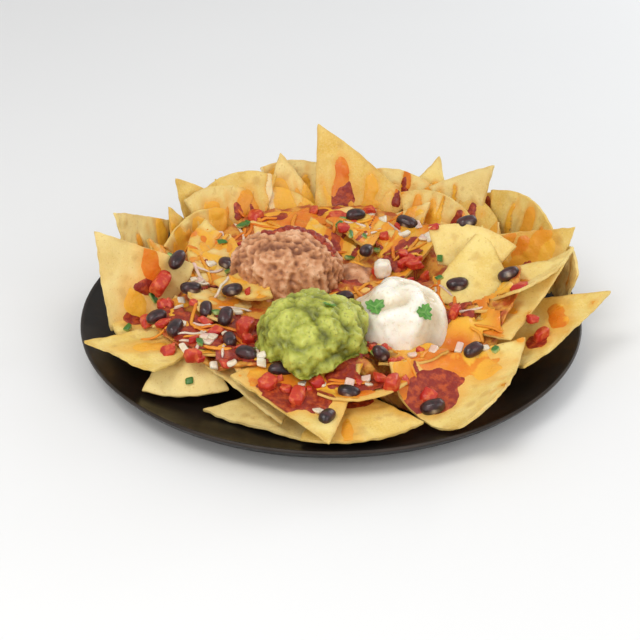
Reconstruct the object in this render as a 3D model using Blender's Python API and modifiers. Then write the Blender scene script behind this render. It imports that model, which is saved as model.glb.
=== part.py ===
"""A plate of nachos, in metres, +Z up. The origin is the centre of the plate's foot.

A dark round plate carries a heap with a scoop of refried beans, one of guacamole and one of
sour cream on it. Tortilla chips stand round the back and the sides of the heap like a crown,
in nested layers, and lie over the plate's edge in front. Black beans and diced tomato
rest on top. Azimuths are in degrees, anticlockwise from +X, so 270 is the front.
"""

import math

import bmesh
import bpy
from mathutils import Matrix, Vector, noise
from mathutils.bvhtree import BVHTree

MM = 0.001
GAP = 0.5 * MM  # what touching pieces keep between them
MERGE = 0.05 * MM
NOTHING = 1e-5  # what is as good as zero
SHARP_ANGLE = math.radians(35)
HIGH_UP = 1.0  # above everything

# Plate
PLATE_RADIUS = 145 * MM
PLATE_HEIGHT = 18 * MM
PLATE_FLOOR = 6 * MM
WELL_RADIUS = 100 * MM
FOOT_RADIUS = 92 * MM
FOOT_BEVEL = 1.3 * MM
PLATE_THICKNESS = 4.6 * MM
RIM_LIP = 2.4 * MM
SIDE_CURVE = 1.6  # the power that the side rises by
SIDE_PLACES = (0, 0.2, 0.4, 0.6, 0.8, 0.93)  # where the side has points, from well to rim
PLATE_STEPS = 56

# Tortilla chips: each is a sixth of a round tortilla
CHIP_THICKNESS = 1.8 * MM
CHIP_HALF_ANGLE = math.radians(30)
CHIP_ROWS = 6
WARP, WARP_SIZE = 1.0 * MM, 30 * MM
WARP_APART = 7.3  # between the places that two chips take their warp from

# Crown of standing chips: nested cones, steeper and wider at the sides than at the back
CROWN_FOOT_RADIUS, CROWN_FOOT_HEIGHT = 88 * MM, 10 * MM
CROWN_WIDENING = 18 * MM
CROWN_SHIFT = 3 * MM
CROWN_LEAN, CROWN_STEEPENING = 64, 14  # degrees from horizontal
LAYER_PITCH = 6.5 * MM

# Heap
HEAP_RADIUS, HEAP_WIDENING = 105 * MM, 9 * MM  # in front, and what is added at the sides
HEAP_HEIGHT = 38 * MM
HEAP_SLOPE_BACK, HEAP_SLOPE_FRONT = 0.03, 0.13
HEAP_STEPS, HEAP_RINGS = 48, 16
HEAP_EDGE = 3 * MM  # how thick it is at its edge, at least
HEAP_GAP = 1 * MM  # what it keeps from the chips that it lies on
HEAP_CLEARANCE = 11 * MM  # how far round each point it keeps that gap
HEAP_MARGIN = 4.5 * MM  # what it keeps from standing chips
HEAP_ASIDE = (-0.12, -0.06, 0, 0.06, 0.12)  # radians aside where it looks for them
HEAP_LEVELS = (-2 * MM, 0, 2 * MM)  # and how far above and below
LUMP_HEIGHT, LUMP_SIZE = 2.2 * MM, 34 * MM
LUMP_PLACE = 20 * MM

# name: azimuth of the tip, layer, height of the tip (mm), spin (degrees), side (mm), rim up
CROWN = {
    "chip_left_back": (168, 2, 69, 32, 60, False),
    "chip_left_inner": (142, 0, 47, 4, 56, True),
    "chip_left_outer": (153, 3.2, 46, -8, 56, True),
    "chip_back_left_tip": (138, 2, 63, 26, 62, False),
    "chip_back_left_round": (121, 1, 58, 2, 58, True),
    "chip_back_left_outer": (123, 3.6, 50, 12, 60, False),
    "chip_back_small_tip": (104, 2.4, 61, 4, 60, False),
    "chip_back_outer": (97, 3.8, 52, -10, 56, True),
    "chip_back_tall": (93.5, 1, 79, 26, 80, False),
    "chip_back_middle": (70, 2.8, 51, -4, 60, True),
    "chip_back_right_tip": (60.5, 3.7, 60, -6, 58, False),
    "chip_back_right_inner": (52, 0, 50, -6, 56, True),
    "chip_right_back_tip": (41.5, 1.9, 70, -30, 70, False),
    "chip_right_back_outer": (41, 3.8, 50, 14, 56, True),
    "chip_right_back": (27, 2.8, 59, -4, 72, True),
    "chip_right_outer": (9, 3.9, 48, 8, 52, True),
}

# name: x, y, z of the tip, the azimuth it rises to, slope and spin (degrees), side, rim up,
# rise of the edges beside the middle and away from the tip (lengths in mm)
LOOSE = {
    "chip_left_low": (-135, -4, 74, 118, 74, 30, 66, False, 3, 2),
    "chip_right_tip": (143, 25, 61, 62, 72, -42, 58, False, 3, 2),
    "chip_right_inner": (84, 24, 62, 76, 54, -6, 54, True, 4, 0),
    "chip_right_wall": (142, 15, 50, 328, 33, 60, 66, False, 4, 0),
    "chip_left_over_rim": (-139, -44, 24, 330, 6, 193, 64, False, 3, 0),
    "chip_front_left": (-80, -89, 22.5, 90, 8, 180, 49, True, -4, -9),
    "chip_front_flat": (-70, -95, 11, 180, 0, 0, 62, False, 2, 0),
    "chip_front_edge": (-27, -121, 17, 150, 9, 131, 66, False, 5, 0),
    "chip_front_tip": (-2, -149, 23.5, 150, 9, 135, 76, False, 5, 0),
    "chip_front_round": (18, -136, 19.5, 284, 3, 0, 68, True, 0, 0),
    "chip_front_trough": (51, -115, 14, 46, 14, 180, 84, True, 25, 0),
    "chip_right_over_rim": (160, -12, 39, 10, 18, 9, 84, False, 6, 0),
}
ON_HEAP = {"chip_right_inner"}  # standing loose chips that the heap carries
BESIDE_HEAP = {"chip_front_trough"}  # lying chips that the heap stops at and doesn't cover
STANDING_SLOPE = 50  # degrees: a loose chip that is steeper than this stands on the plate
STANDING_GAP = 2.5 * MM  # from the plate to where standing chips are broken off

# name: x, y of the middle, radii across and along, height above the heap, all in mm
SCOOPS = {
    "refried_beans": (-26, 10, 34, 27, 27),
    "sour_cream": (37, -41, 28, 25, 24),
    "guacamole": (-11, -66, 32, 30, 26),
}
SCOOP_STEPS, SCOOP_RINGS = 24, 12
SCOOP_CLEARANCE = 7 * MM
SCOOP_EDGE = 1.5 * MM
SCOOP_CROWN = 2.4  # the power that a dome falls by towards its edge
SCOOP_LUMP, SCOOP_LUMPS = 0.07, 2.1  # how high, and how many to a radius

# x, y (mm) and turn (degrees) of each topping that is as large as a berry
BLACK_BEANS = (
    (15, 66, 20),
    (-93, 12, 60),
    (-80, -14, 10),
    (-98, -39, 30),
    (-86, -51, 70),
    (-58, -43, 80),
    (-55, -63, 100),
    (7, -13, 20),
    (72, -12, 10),
    (101, -10, 0),
    (27, -80, 30),
    (-46, -80, 150),
    (9, -103, 170),
    (-2, -126, 60),
    (54, -107, 10),
    (78, -68, 40),
)
TOMATOES = (
    (-108, -38, 30),
    (-98, -6, 50),
    (-90, -66, 15),
    (-76, -78, 20),
    (-48, -50, 60),
    (-18, -112, 70),
    (48, 20, 25),
    (69, -34, 55),
    (118, -42, 40),
    (4, 76, 30),
    (-34, -104, 45),
)
BEAN_RADII = (6.4 * MM, 4.3 * MM, 3.9 * MM)
BEAN_BEND = 1.3 * MM
BEAN_STEPS, BEAN_RINGS = 8, 6
DICE_SIZE = (10.5 * MM, 9 * MM, 7.5 * MM)
DICE_BEVEL = 1.2 * MM
REST_REACH = 1.5 * MM  # how far round each point a topping looks for what it lies on

COLOURS = {  # base colour, roughness
    "plate": ((0.015, 0.014, 0.016), 0.35),
    "chip": ((0.72, 0.47, 0.12), 0.6),
    "heap": ((0.70, 0.33, 0.07), 0.6),
    "refried_beans": ((0.50, 0.25, 0.14), 0.6),
    "guacamole": ((0.36, 0.44, 0.07), 0.45),
    "sour_cream": ((0.88, 0.86, 0.80), 0.35),
    "black_bean": ((0.03, 0.012, 0.016), 0.3),
    "tomato": ((0.62, 0.06, 0.03), 0.3),
}


def clear_scene():
    for obj in list(bpy.data.objects):
        bpy.data.objects.remove(obj)


def make_material(name):
    """A Principled material with the piece's colour and roughness."""
    colour, roughness = COLOURS[name]
    material = bpy.data.materials.new(name)
    material.use_nodes = True
    shader = material.node_tree.nodes["Principled BSDF"]
    shader.inputs["Base Color"].default_value = (*colour, 1)
    shader.inputs["Roughness"].default_value = roughness
    shader.inputs["Metallic"].default_value = 0
    return material


def add_object(name, bm, material, collection):
    """A new object in the collection, from a bmesh that is freed here."""
    bmesh.ops.recalc_face_normals(bm, faces=bm.faces)
    mesh = bpy.data.meshes.new(name)
    bm.to_mesh(mesh)
    bm.free()
    mesh.shade_smooth()
    mesh.set_sharp_from_angle(angle=SHARP_ANGLE)
    mesh.materials.append(material)
    obj = bpy.data.objects.new(name, mesh)
    collection.objects.link(obj)
    return obj


def plate_height(radius):
    """The height of the plate's upper surface at a radius."""
    outward = max(0, (radius - WELL_RADIUS) / (PLATE_RADIUS - WELL_RADIUS))
    return PLATE_FLOOR + (PLATE_HEIGHT - PLATE_FLOOR) * outward**SIDE_CURVE


def make_plate(collection, material):
    """A coupe plate: a flat well, a side that rises gently to a rounded lip, and a solid foot."""
    side = PLATE_RADIUS - WELL_RADIUS
    radii = [WELL_RADIUS + side * place for place in SIDE_PLACES]
    inner = [(radius, plate_height(radius)) for radius in radii]
    bend = RIM_LIP / 2
    lip = [
        (PLATE_RADIUS - bend + bend * math.cos(turn), PLATE_HEIGHT - bend + bend * math.sin(turn))
        for turn in (math.pi / 3, 0, -math.pi / 3)
    ]
    outer = [(radius, height - PLATE_THICKNESS) for radius, height in inner[-2:0:-1]]
    foot = [(FOOT_RADIUS + FOOT_BEVEL, FOOT_BEVEL), (FOOT_RADIUS, 0), (0, 0)]
    profile = [(0, PLATE_FLOOR), *inner, *lip, *outer, *foot]
    bm = bmesh.new()
    points = [bm.verts.new((radius, 0, height)) for radius, height in profile]
    for first, second in zip(points, points[1:]):
        bm.edges.new((first, second))
    plate = add_object("plate", bm, material, collection)
    screw = plate.modifiers.new("turn", "SCREW")
    screw.steps = screw.render_steps = PLATE_STEPS
    screw.use_merge_vertices = True
    screw.merge_threshold = MERGE
    screw.use_smooth_shade = True
    return plate


def bed_height(x, y):
    """The height of the heap's upper surface before chips press it down."""
    lump = noise.noise(Vector((x, y, LUMP_PLACE)) / LUMP_SIZE)
    slope = HEAP_SLOPE_BACK if y > 0 else HEAP_SLOPE_FRONT
    return HEAP_HEIGHT + slope * y + LUMP_HEIGHT * lump


def chip_sheet(side, rim_up):
    """A flat sixth of a tortilla, as a bmesh sheet in XY with +Y towards the tip.

    The tip is at the origin: the pointed corner, or the middle of the round rim if rim_up.
    """
    bm = bmesh.new()
    reach = math.cos(CHIP_HALF_ANGLE)
    half = math.sin(CHIP_HALF_ANGLE)
    corners = [bm.verts.new(c) for c in ((0, 0, 0), (-half, -reach, 0), (half, -reach, 0))]
    bm.faces.new(corners)
    bmesh.ops.subdivide_edges(bm, edges=bm.edges, cuts=CHIP_ROWS - 1, use_grid_fill=True)
    for vert in bm.verts:
        along = -vert.co.y / reach
        across = vert.co.x / (half * along) if along > NOTHING else 0
        angle = across * CHIP_HALF_ANGLE
        vert.co.x = side * along * math.sin(angle)
        vert.co.y = -side * along * math.cos(angle)
        if rim_up:
            vert.co.x = -vert.co.x
            vert.co.y = -vert.co.y - side
    return bm


def warp(x, y, seed):
    """A chip's own unevenness, across its sheet."""
    return WARP * noise.noise(Vector((x, y, seed * WARP_APART)) / WARP_SIZE)


def solidify(chip):
    thick = chip.modifiers.new("thickness", "SOLIDIFY")
    thick.thickness = CHIP_THICKNESS
    thick.offset = 0


def crown_radius_at(turn, layer, height):
    """The radius of a layer's cone at an azimuth and a height, and its lean there."""
    sideways = math.cos(turn)
    foot = CROWN_FOOT_RADIUS + CROWN_WIDENING * sideways**2 + CROWN_SHIFT * sideways
    lean = math.radians(CROWN_LEAN + CROWN_STEEPENING * sideways**2)
    rise = (height - CROWN_FOOT_HEIGHT) / math.tan(lean)
    return foot + layer * LAYER_PITCH + rise, lean


def break_off(bm, drop):
    """Cuts off what hangs more than a drop below the sheet's tip."""
    everything = bm.verts[:] + bm.edges[:] + bm.faces[:]
    way = Vector((0, 1, 0))
    bmesh.ops.bisect_plane(
        bm, geom=everything, plane_co=-way * drop, plane_no=way, clear_inner=True
    )


def make_crown_chip(name, seed, collection, material):
    """A chip of the crown, wrapped round its layer's cone, so that the layers stay clear."""
    azimuth, layer, tip, spin, side, rim_up = CROWN[name]
    tip_radius, lean = crown_radius_at(math.radians(azimuth), layer, tip * MM)
    bm = chip_sheet(side * MM, rim_up)
    bmesh.ops.rotate(bm, matrix=Matrix.Rotation(math.radians(spin), 3, "Z"), verts=bm.verts)
    foot_radius = crown_radius_at(math.radians(azimuth), layer, STANDING_GAP)[0]
    foot = plate_height(foot_radius) + STANDING_GAP
    break_off(bm, (tip * MM - foot) / math.sin(lean))
    for vert in bm.verts:
        x, y = vert.co.x, vert.co.y
        out = warp(x, y, seed)
        turn = math.radians(azimuth) - x / tip_radius
        height = tip * MM + y * math.sin(lean)
        radius = crown_radius_at(turn, layer, height)[0] + out
        vert.co = (radius * math.cos(turn), radius * math.sin(turn), height)
    chip = add_object(name, bm, material, collection)
    solidify(chip)
    return chip


def curl(distance, rise, half):
    """Where a point of a sheet goes when the sheet's edges, half its width away, rise so far."""
    if not rise:
        return distance, 0
    radius = half**2 / (2 * rise * MM)
    turn = distance / radius
    return radius * math.sin(turn), radius * (1 - math.cos(turn))


def make_loose_chip(name, seed, collection, material):
    """A chip that stands or lies by itself, curled about the way it rises."""
    *tip, azimuth, slope, spin, side, rim_up, beside, away = LOOSE[name]
    bm = chip_sheet(side * MM, rim_up)
    half = side * MM / 2
    turned = Matrix.Rotation(math.radians(spin), 3, "Z")
    middle = turned @ Vector((0, -half, 0))
    bmesh.ops.rotate(bm, matrix=turned, verts=bm.verts)
    if slope > STANDING_SLOPE:
        place = Vector(tip) * MM
        floor = bed_height(*place.xy) if name in ON_HEAP else plate_height(place.xy.length)
        break_off(bm, (place.z - floor - STANDING_GAP) / math.sin(math.radians(slope)))
    for vert in bm.verts:
        bump = warp(vert.co.x, vert.co.y, seed)
        x, rise_x = curl(vert.co.x - middle.x, beside, half)
        y, rise_y = curl(vert.co.y - middle.y, away, half)
        vert.co = (x + middle.x, y + middle.y, rise_x + rise_y + bump)
    chip = add_object(name, bm, material, collection)
    chip.location = Vector(tip) * MM
    chip.rotation_euler = (math.radians(slope), 0, math.radians(azimuth - 90))
    solidify(chip)
    return chip


def surfaces_of(objects):
    """One search tree over the objects' evaluated surfaces, in world space."""
    bpy.context.view_layer.update()
    graph = bpy.context.evaluated_depsgraph_get()
    points, faces = [], []
    for obj in objects:
        mesh = obj.evaluated_get(graph).to_mesh()
        start = len(points)
        points += [obj.matrix_world @ vert.co for vert in mesh.vertices]
        faces += [[start + i for i in face.vertices] for face in mesh.polygons]
    return BVHTree.FromPolygons(points, faces)


def room(standing, turn, height):
    """How far the heap reaches at an azimuth and a height before it meets a standing chip."""
    reach = HEAP_RADIUS + HEAP_WIDENING * math.cos(turn) ** 2
    for aside in HEAP_ASIDE:
        for level in HEAP_LEVELS:
            way = Vector((math.cos(turn + aside), math.sin(turn + aside), 0))
            distance = standing.ray_cast(Vector((0, 0, height + level)), way)[3]
            if distance is not None:
                reach = min(reach, distance)
    return reach - HEAP_MARGIN


def support_height(support, x, y, reach):
    """The highest surface within reach of a place, looking down."""
    heights = []
    for out in (0, reach / 2, reach):
        for step in range(8 if out else 1):
            turn = step * math.pi / 4
            start = Vector((x + out * math.cos(turn), y + out * math.sin(turn), HIGH_UP))
            hit = support.ray_cast(start, Vector((0, 0, -1)))[0]
            if hit:
                heights.append(hit.z)
    return max(heights, default=0)


def make_heap(collection, material, standing, support):
    """The filling of the crown, as one closed lump between what it lies on and its own top."""
    bm = bmesh.new()
    bmesh.ops.create_uvsphere(bm, u_segments=HEAP_STEPS, v_segments=HEAP_RINGS, radius=1)
    for vert in bm.verts:
        turn = math.atan2(vert.co.y, vert.co.x)
        out = vert.co.xy.length
        underneath = vert.co.z < -NOTHING
        edge = bed_height(HEAP_RADIUS * math.cos(turn), HEAP_RADIUS * math.sin(turn))
        level = PLATE_FLOOR + HEAP_EDGE if underneath else edge - HEAP_EDGE
        reach = room(standing, turn, level)
        x, y = reach * out * math.cos(turn), reach * out * math.sin(turn)
        floor = support_height(support, x, y, HEAP_CLEARANCE) + HEAP_GAP
        if underneath:
            height = floor
        else:
            height = max(floor + HEAP_EDGE, bed_height(x, y) - HEAP_EDGE * out**4)
        vert.co = (x, y, height)
    return add_object("nacho_heap", bm, material, collection)


def make_scoop(name, support, collection, material):
    """A dome of something soft, with an underside that follows what it lies on."""
    middle_x, middle_y, across, along, high = (value * MM for value in SCOOPS[name])
    bm = bmesh.new()
    bmesh.ops.create_uvsphere(bm, u_segments=SCOOP_STEPS, v_segments=SCOOP_RINGS, radius=1)
    base = support_height(support, middle_x, middle_y, across / 2)
    for vert in bm.verts:
        flat = vert.co.xy.length
        place = vert.co * SCOOP_LUMPS + Vector((middle_x, middle_y, 0)) / MM
        lump = 1 + SCOOP_LUMP * noise.noise(place)
        x = middle_x + across * vert.co.x * lump
        y = middle_y + along * vert.co.y * lump
        floor = support_height(support, x, y, SCOOP_CLEARANCE) + GAP
        if vert.co.z > 0:
            dome = base + high * math.sqrt(max(0, 1 - flat**SCOOP_CROWN)) * lump
            height = max(dome, floor + SCOOP_EDGE)
        else:
            height = floor
        vert.co = (x, y, height)
    return add_object(name, bm, material, collection)


def bean_shape():
    """A black bean: an oval, hollowed a little on one side."""
    bm = bmesh.new()
    bmesh.ops.create_uvsphere(bm, u_segments=BEAN_STEPS, v_segments=BEAN_RINGS, radius=1)
    bmesh.ops.rotate(bm, matrix=Matrix.Rotation(math.pi / 2, 3, "Y"), verts=bm.verts)
    for vert in bm.verts:
        bend = BEAN_BEND * (1 - vert.co.x**2)
        vert.co = Vector(size * c for size, c in zip(BEAN_RADII, vert.co))
        vert.co.y += bend
    return bm


def dice_shape():
    """A cube of tomato with soft edges."""
    bm = bmesh.new()
    bmesh.ops.create_cube(bm, size=1)
    bmesh.ops.scale(bm, vec=DICE_SIZE, verts=bm.verts)
    bmesh.ops.bevel(bm, geom=bm.edges[:], offset=DICE_BEVEL, segments=1, affect="EDGES")
    return bm


def rest(bm, x, y, turn, support):
    """Lays a small shape on whatever is below (x, y), flat on its slope and just clear of it."""
    normal = support.ray_cast(Vector((x, y, HIGH_UP)), Vector((0, 0, -1)))[1]
    lying = Vector((0, 0, 1)).rotation_difference(normal).to_matrix()
    turned = lying @ Matrix.Rotation(math.radians(turn), 3, "Z")
    bmesh.ops.rotate(bm, matrix=turned, verts=bm.verts)
    lift = max(
        support_height(support, x + vert.co.x, y + vert.co.y, REST_REACH) + GAP - vert.co.z
        for vert in bm.verts
    )
    bmesh.ops.translate(bm, vec=(x, y, lift), verts=bm.verts)


def make_toppings(prefix, places, shape, support, collection, material):
    made = []
    for number, (x, y, turn) in enumerate(places, 1):
        bm = shape()
        rest(bm, x * MM, y * MM, turn, support)
        made.append(add_object(f"{prefix}_{number:02d}", bm, material, collection))
    return made


def main():
    clear_scene()
    collection = bpy.data.collections.new("nachos")
    bpy.context.scene.collection.children.link(collection)
    materials = {name: make_material(name) for name in COLOURS}
    plate = make_plate(collection, materials["plate"])
    crown = [
        make_crown_chip(name, seed, collection, materials["chip"])
        for seed, name in enumerate(CROWN)
    ]
    loose = [
        make_loose_chip(name, seed, collection, materials["chip"])
        for seed, name in enumerate(LOOSE, len(CROWN))
    ]
    steep = {name for name, values in LOOSE.items() if values[4] > STANDING_SLOPE}
    around = crown + [chip for chip in loose if chip.name in (steep - ON_HEAP) | BESIDE_HEAP]
    under = [plate] + [chip for chip in loose if chip.name not in steep | BESIDE_HEAP]
    heap = make_heap(collection, materials["heap"], surfaces_of(around), surfaces_of(under))
    solids = [plate, heap, *crown, *loose]
    for name in SCOOPS:
        solids.append(make_scoop(name, surfaces_of(solids), collection, materials[name]))
    for prefix, places, shape in (
        ("black_bean", BLACK_BEANS, bean_shape),
        ("tomato", TOMATOES, dice_shape),
    ):
        under = surfaces_of(solids)
        solids += make_toppings(prefix, places, shape, under, collection, materials[prefix])


main()
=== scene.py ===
"""The looks of a plate of nachos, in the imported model's frame: metres, +Z up, front at -Y.

Every plain solid of the model is replaced by a detailed piece in the same place: a glazed plate,
blistered tortilla chips, three mounds, beans and diced tomato. The heap becomes a smaller core with
further chips in it, and over it come melted cheese, salsa, shreds, onion, pepper and leaves.
"""

import math
import random

import bmesh
import bpy
import numpy as np
from mathutils import Matrix, Vector, noise
from mathutils.bvhtree import BVHTree


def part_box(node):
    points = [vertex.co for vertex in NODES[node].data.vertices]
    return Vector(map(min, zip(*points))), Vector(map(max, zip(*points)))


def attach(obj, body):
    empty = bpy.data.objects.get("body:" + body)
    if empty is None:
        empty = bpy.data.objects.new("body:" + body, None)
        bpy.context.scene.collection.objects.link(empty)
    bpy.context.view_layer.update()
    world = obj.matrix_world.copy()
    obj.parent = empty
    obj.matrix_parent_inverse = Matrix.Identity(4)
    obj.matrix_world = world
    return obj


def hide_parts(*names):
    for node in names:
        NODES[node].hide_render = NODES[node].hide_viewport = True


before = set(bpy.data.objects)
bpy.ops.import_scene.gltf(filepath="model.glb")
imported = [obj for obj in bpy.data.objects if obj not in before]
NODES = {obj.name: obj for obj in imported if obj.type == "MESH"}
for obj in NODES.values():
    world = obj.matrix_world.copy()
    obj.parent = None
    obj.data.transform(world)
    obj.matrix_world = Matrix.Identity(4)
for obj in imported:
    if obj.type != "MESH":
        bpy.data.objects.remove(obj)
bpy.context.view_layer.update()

MM = 0.001
WELD = 0.01 * MM
HIGH = 1.0
DOWN = Vector((0, 0, -1))
FOCUS = Vector((0, 0, 150 * MM))  # over the plate: the side of a chip that faces it is its inner side

CHIP_NODES = sorted(name for name in NODES if name.startswith("chip_"))
BEAN_NODES = sorted(name for name in NODES if name.startswith("black_bean_"))
TOMATO_NODES = sorted(name for name in NODES if name.startswith("tomato_"))

# Plate: everything else about its shape comes from its box
WELL_RADIUS, WELL_FLOOR = 100 * MM, 6 * MM
FOOT_RADIUS, FOOT_BEVEL = 92 * MM, 1.3 * MM
FOOT_RING, FOOT_DEPTH = 7 * MM, 1.6 * MM  # the standing ring's width, and the hollow inside it
PLATE_THICKNESS, LIP = 4.6 * MM, 2.4 * MM
SIDE_CURVE = 1.6
PLATE_STEPS = 192

# Chips
CHIP_LEVELS, FURTHER_LEVELS = 3, 2
CHIP_FLOOR = 10 * MM  # a chip in the heap reaches down to here
RIM_ANGLE = math.radians(55)
RIM_CREASE = 0.75
CHIP_THICKNESS = 1.7 * MM
CHIP_ROWS = 8
HALF_ANGLE = math.radians(30)
WAVE, WAVE_SIZE = 1.3 * MM, 24 * MM
RIPPLE, RIPPLE_SIZE = 0.35 * MM, 7 * MM
FRAY, FRAY_SIZE = 0.55 * MM, 5 * MM
BLISTERS, BLISTER_RADII, BLISTER_RISE = 15, (1.8, 5.0), 0.85 * MM
SINGED_REACH = 2.2 * MM  # how far in from its rim a chip is browned
# Per chip, partly its own colour and partly painted light: a chip in shade is set paler, a brightly lit one deeper
TONES_AND_LIGHT_OFFSETS = {  # pale (-1) to deep (1), where it isn't left to chance
    "chip_left_low": -0.8,
    "chip_left_inner": -0.3,
    "chip_right_inner": -0.4,
    "chip_back_right_inner": -0.5,
    "chip_back_tall": 0.8,
    "chip_back_left_round": 0.5,
    "chip_right_wall": -0.3,
    "chip_right_back": 0.3,
    "chip_right_tip": 0.5,
    "chip_right_back_outer": 0.5,
    "chip_front_trough": -0.2,
    "chip_front_left": -0.9,
    "chip_front_round": 0.5,
    "chip_left_over_rim": 0.2,
    "chip_right_over_rim": 0.1,
    "chip_front_flat": -0.7,
}
CLEAN_CHIPS = ("chip_right_inner", "chip_left_low", "chip_front_left", "chip_left_over_rim", "chip_front_round")

# Heap
CORE_DROP = 3.5 * MM  # how far the core lies below the heap's own outline
CORE_REACH = 76 * MM  # beyond this it is drawn in at the front, where chips carry the topping
CORE_LUMPS = ((86, -3, 22, -7), (50, 20, 15, -8), (68, -36, 18, 6), (101, -34, 24, -11), (36, -84, 18, -8))  # x, y, radius and rise in mm
GRID_PITCH, GRID_REACH = 1.25 * MM, 122 * MM
DRAPE_ROUNDS, DRAPE_SAG = 14, 0.03 * MM
SKIN_EDGE = 0.18  # how fast a skin on a chip gets thick, in the units of its mask
CLIFF = 1.6 * MM  # a film ends where it would fall this much from point to point
BRIDGE = 5 * MM  # or where it would hang this high


# ---------------------------------------------------------------- meshes as arrays


def points_of(mesh):
    points = np.empty(len(mesh.vertices) * 3)
    mesh.vertices.foreach_get("co", points)
    return points.reshape(-1, 3)


def normals_of(mesh):
    normals = np.empty(len(mesh.vertices) * 3)
    mesh.vertex_normals.foreach_get("vector", normals)
    return normals.reshape(-1, 3)


def move_points(mesh, points):
    mesh.vertices.foreach_set("co", points.ravel())
    mesh.update()


def mark(mesh, name, values):
    """Writes a value for each point, which the materials read by this name."""
    layer = mesh.attributes.get(name) or mesh.attributes.new(name, "FLOAT", "POINT")
    layer.data.foreach_set("value", np.ascontiguousarray(values, dtype=np.float32))


def marks_of(mesh, name):
    values = np.empty(len(mesh.vertices), np.float32)
    mesh.attributes[name].data.foreach_get("value", values)
    return values


def swell(points, size, seed=0.0):
    """Smooth noise at each point, with lumps of this size."""
    offset = Vector((seed * 3.1, seed * 5.7, seed * 1.9))
    return np.array([noise.noise(Vector(point) + offset) for point in points / size])


def cells(points, size, seed=0.0):
    """How far each point is from the middle of its lump, from 0 to about 1."""
    offset = Vector((seed * 3.1, seed * 5.7, seed * 1.9))
    return np.array([noise.voronoi(Vector(point) + offset)[0][0] for point in points / size])


def dome(distance, radius):
    """1 in the middle of a round spot, falling to 0 at its radius."""
    return np.clip(1 - (distance / radius) ** 2, 0, 1)


def smooth_step(values, low, high):
    share = np.clip((values - low) / (high - low), 0, 1)
    return share * share * (3 - 2 * share)


def gaps(points, place):
    """How far each point is from a place."""
    return np.linalg.norm(points - np.array(place), axis=1)


def tree_of(meshes):
    """One search tree over several meshes."""
    points, faces = [], []
    for mesh in meshes:
        start = len(points)
        points += [tuple(point) for point in points_of(mesh)]
        faces += [[start + i for i in face.vertices] for face in mesh.polygons]
    return BVHTree.FromPolygons(points, faces)


def mesh_from(name, points, faces):
    mesh = bpy.data.meshes.new(name)
    mesh.from_pydata(np.asarray(points).tolist(), [], faces)
    mesh.update()
    return mesh


def joined(name, forms):
    """One mesh from several forms, each its points and its faces."""
    points, faces = [], []
    for form_points, form_faces in forms:
        start = sum(len(part) for part in points)
        points.append(form_points)
        faces += [[start + i for i in face] for face in form_faces]
    return mesh_from(name, np.vstack(points), faces)


def subdivided(bm, levels):
    """The smooth surface inside a cage, as a mesh. The cage is freed."""
    cage = bpy.data.objects.new("cage", bpy.data.meshes.new("cage"))
    bm.to_mesh(cage.data)
    bm.free()
    bpy.context.scene.collection.objects.link(cage)
    modifier = cage.modifiers.new("smooth", "SUBSURF")
    modifier.levels = modifier.render_levels = levels
    graph = bpy.context.evaluated_depsgraph_get()
    mesh = bpy.data.meshes.new_from_object(cage.evaluated_get(graph))
    bpy.data.objects.remove(cage)
    return mesh


def node_cage(name):
    """A CAD node's mesh with its split points welded, as a bmesh."""
    bm = bmesh.new()
    bm.from_mesh(NODES[name].data)
    bmesh.ops.remove_doubles(bm, verts=bm.verts, dist=WELD)
    return bm


def add_piece(name, mesh, material, slot, *nodes):
    """A finished piece, which stands for these CAD nodes."""
    piece = bpy.data.objects.new(name, mesh)
    bpy.context.scene.collection.objects.link(piece)
    mesh.materials.clear()
    mesh.materials.append(material)
    mesh.shade_smooth()
    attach(piece, "root")
    if nodes:
        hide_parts(*nodes)
    return piece


# ---------------------------------------------------------------- materials


def add_node(tree, kind, settings=None, **inputs):
    """A shader node. An input is a value or another node's output; _ stands for a space."""
    made = tree.nodes.new(kind)
    for name, value in (settings or {}).items():
        setattr(made, name, value)
    for name, value in inputs.items():
        socket = made.inputs[name.replace("_", " ")]
        if isinstance(value, bpy.types.NodeSocket):
            tree.links.new(value, socket)
        else:
            socket.default_value = value
    return made


def blend(tree, share, first, second):
    """The colour between two others; each is a socket or (red, green, blue)."""
    mix = tree.nodes.new("ShaderNodeMix")
    mix.data_type = "RGBA"
    for index, value in ((0, share), (6, first), (7, second)):
        if isinstance(value, bpy.types.NodeSocket):
            tree.links.new(value, mix.inputs[index])
        else:
            mix.inputs[index].default_value = value if index == 0 else (*value, 1)
    return mix.outputs[2]


def reach(tree, value, low, high, to_low=0.0, to_high=1.0):
    """A value's range mapped to another range, and kept inside it."""
    mapped = add_node(tree, "ShaderNodeMapRange", Value=value)
    for name, number in (("From Min", low), ("From Max", high), ("To Min", to_low), ("To Max", to_high)):
        mapped.inputs[name].default_value = number
    return mapped.outputs[0]


def own_mark(tree, name):
    return add_node(tree, "ShaderNodeAttribute", {"attribute_name": name}).outputs["Fac"]


def new_group(name, inputs, outputs):
    """A shader node group with its inputs and outputs, and its tree's two end nodes."""
    group = bpy.data.node_groups.new(name, "ShaderNodeTree")
    for socket, default in inputs:
        made = group.interface.new_socket(socket, in_out="INPUT", socket_type="NodeSocketFloat")
        made.default_value = default
    for socket, kind in outputs:
        group.interface.new_socket(socket, in_out="OUTPUT", socket_type=kind)
    return group, group.nodes.new("NodeGroupInput"), group.nodes.new("NodeGroupOutput")


def scale_from(tree, size):
    """A texture's scale from the size of its spots, in metres."""
    over = tree.nodes.new("ShaderNodeMath")
    over.operation = "DIVIDE"
    over.inputs[0].default_value = 1.0
    tree.links.new(size, over.inputs[1])
    return over.outputs[0]


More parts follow.
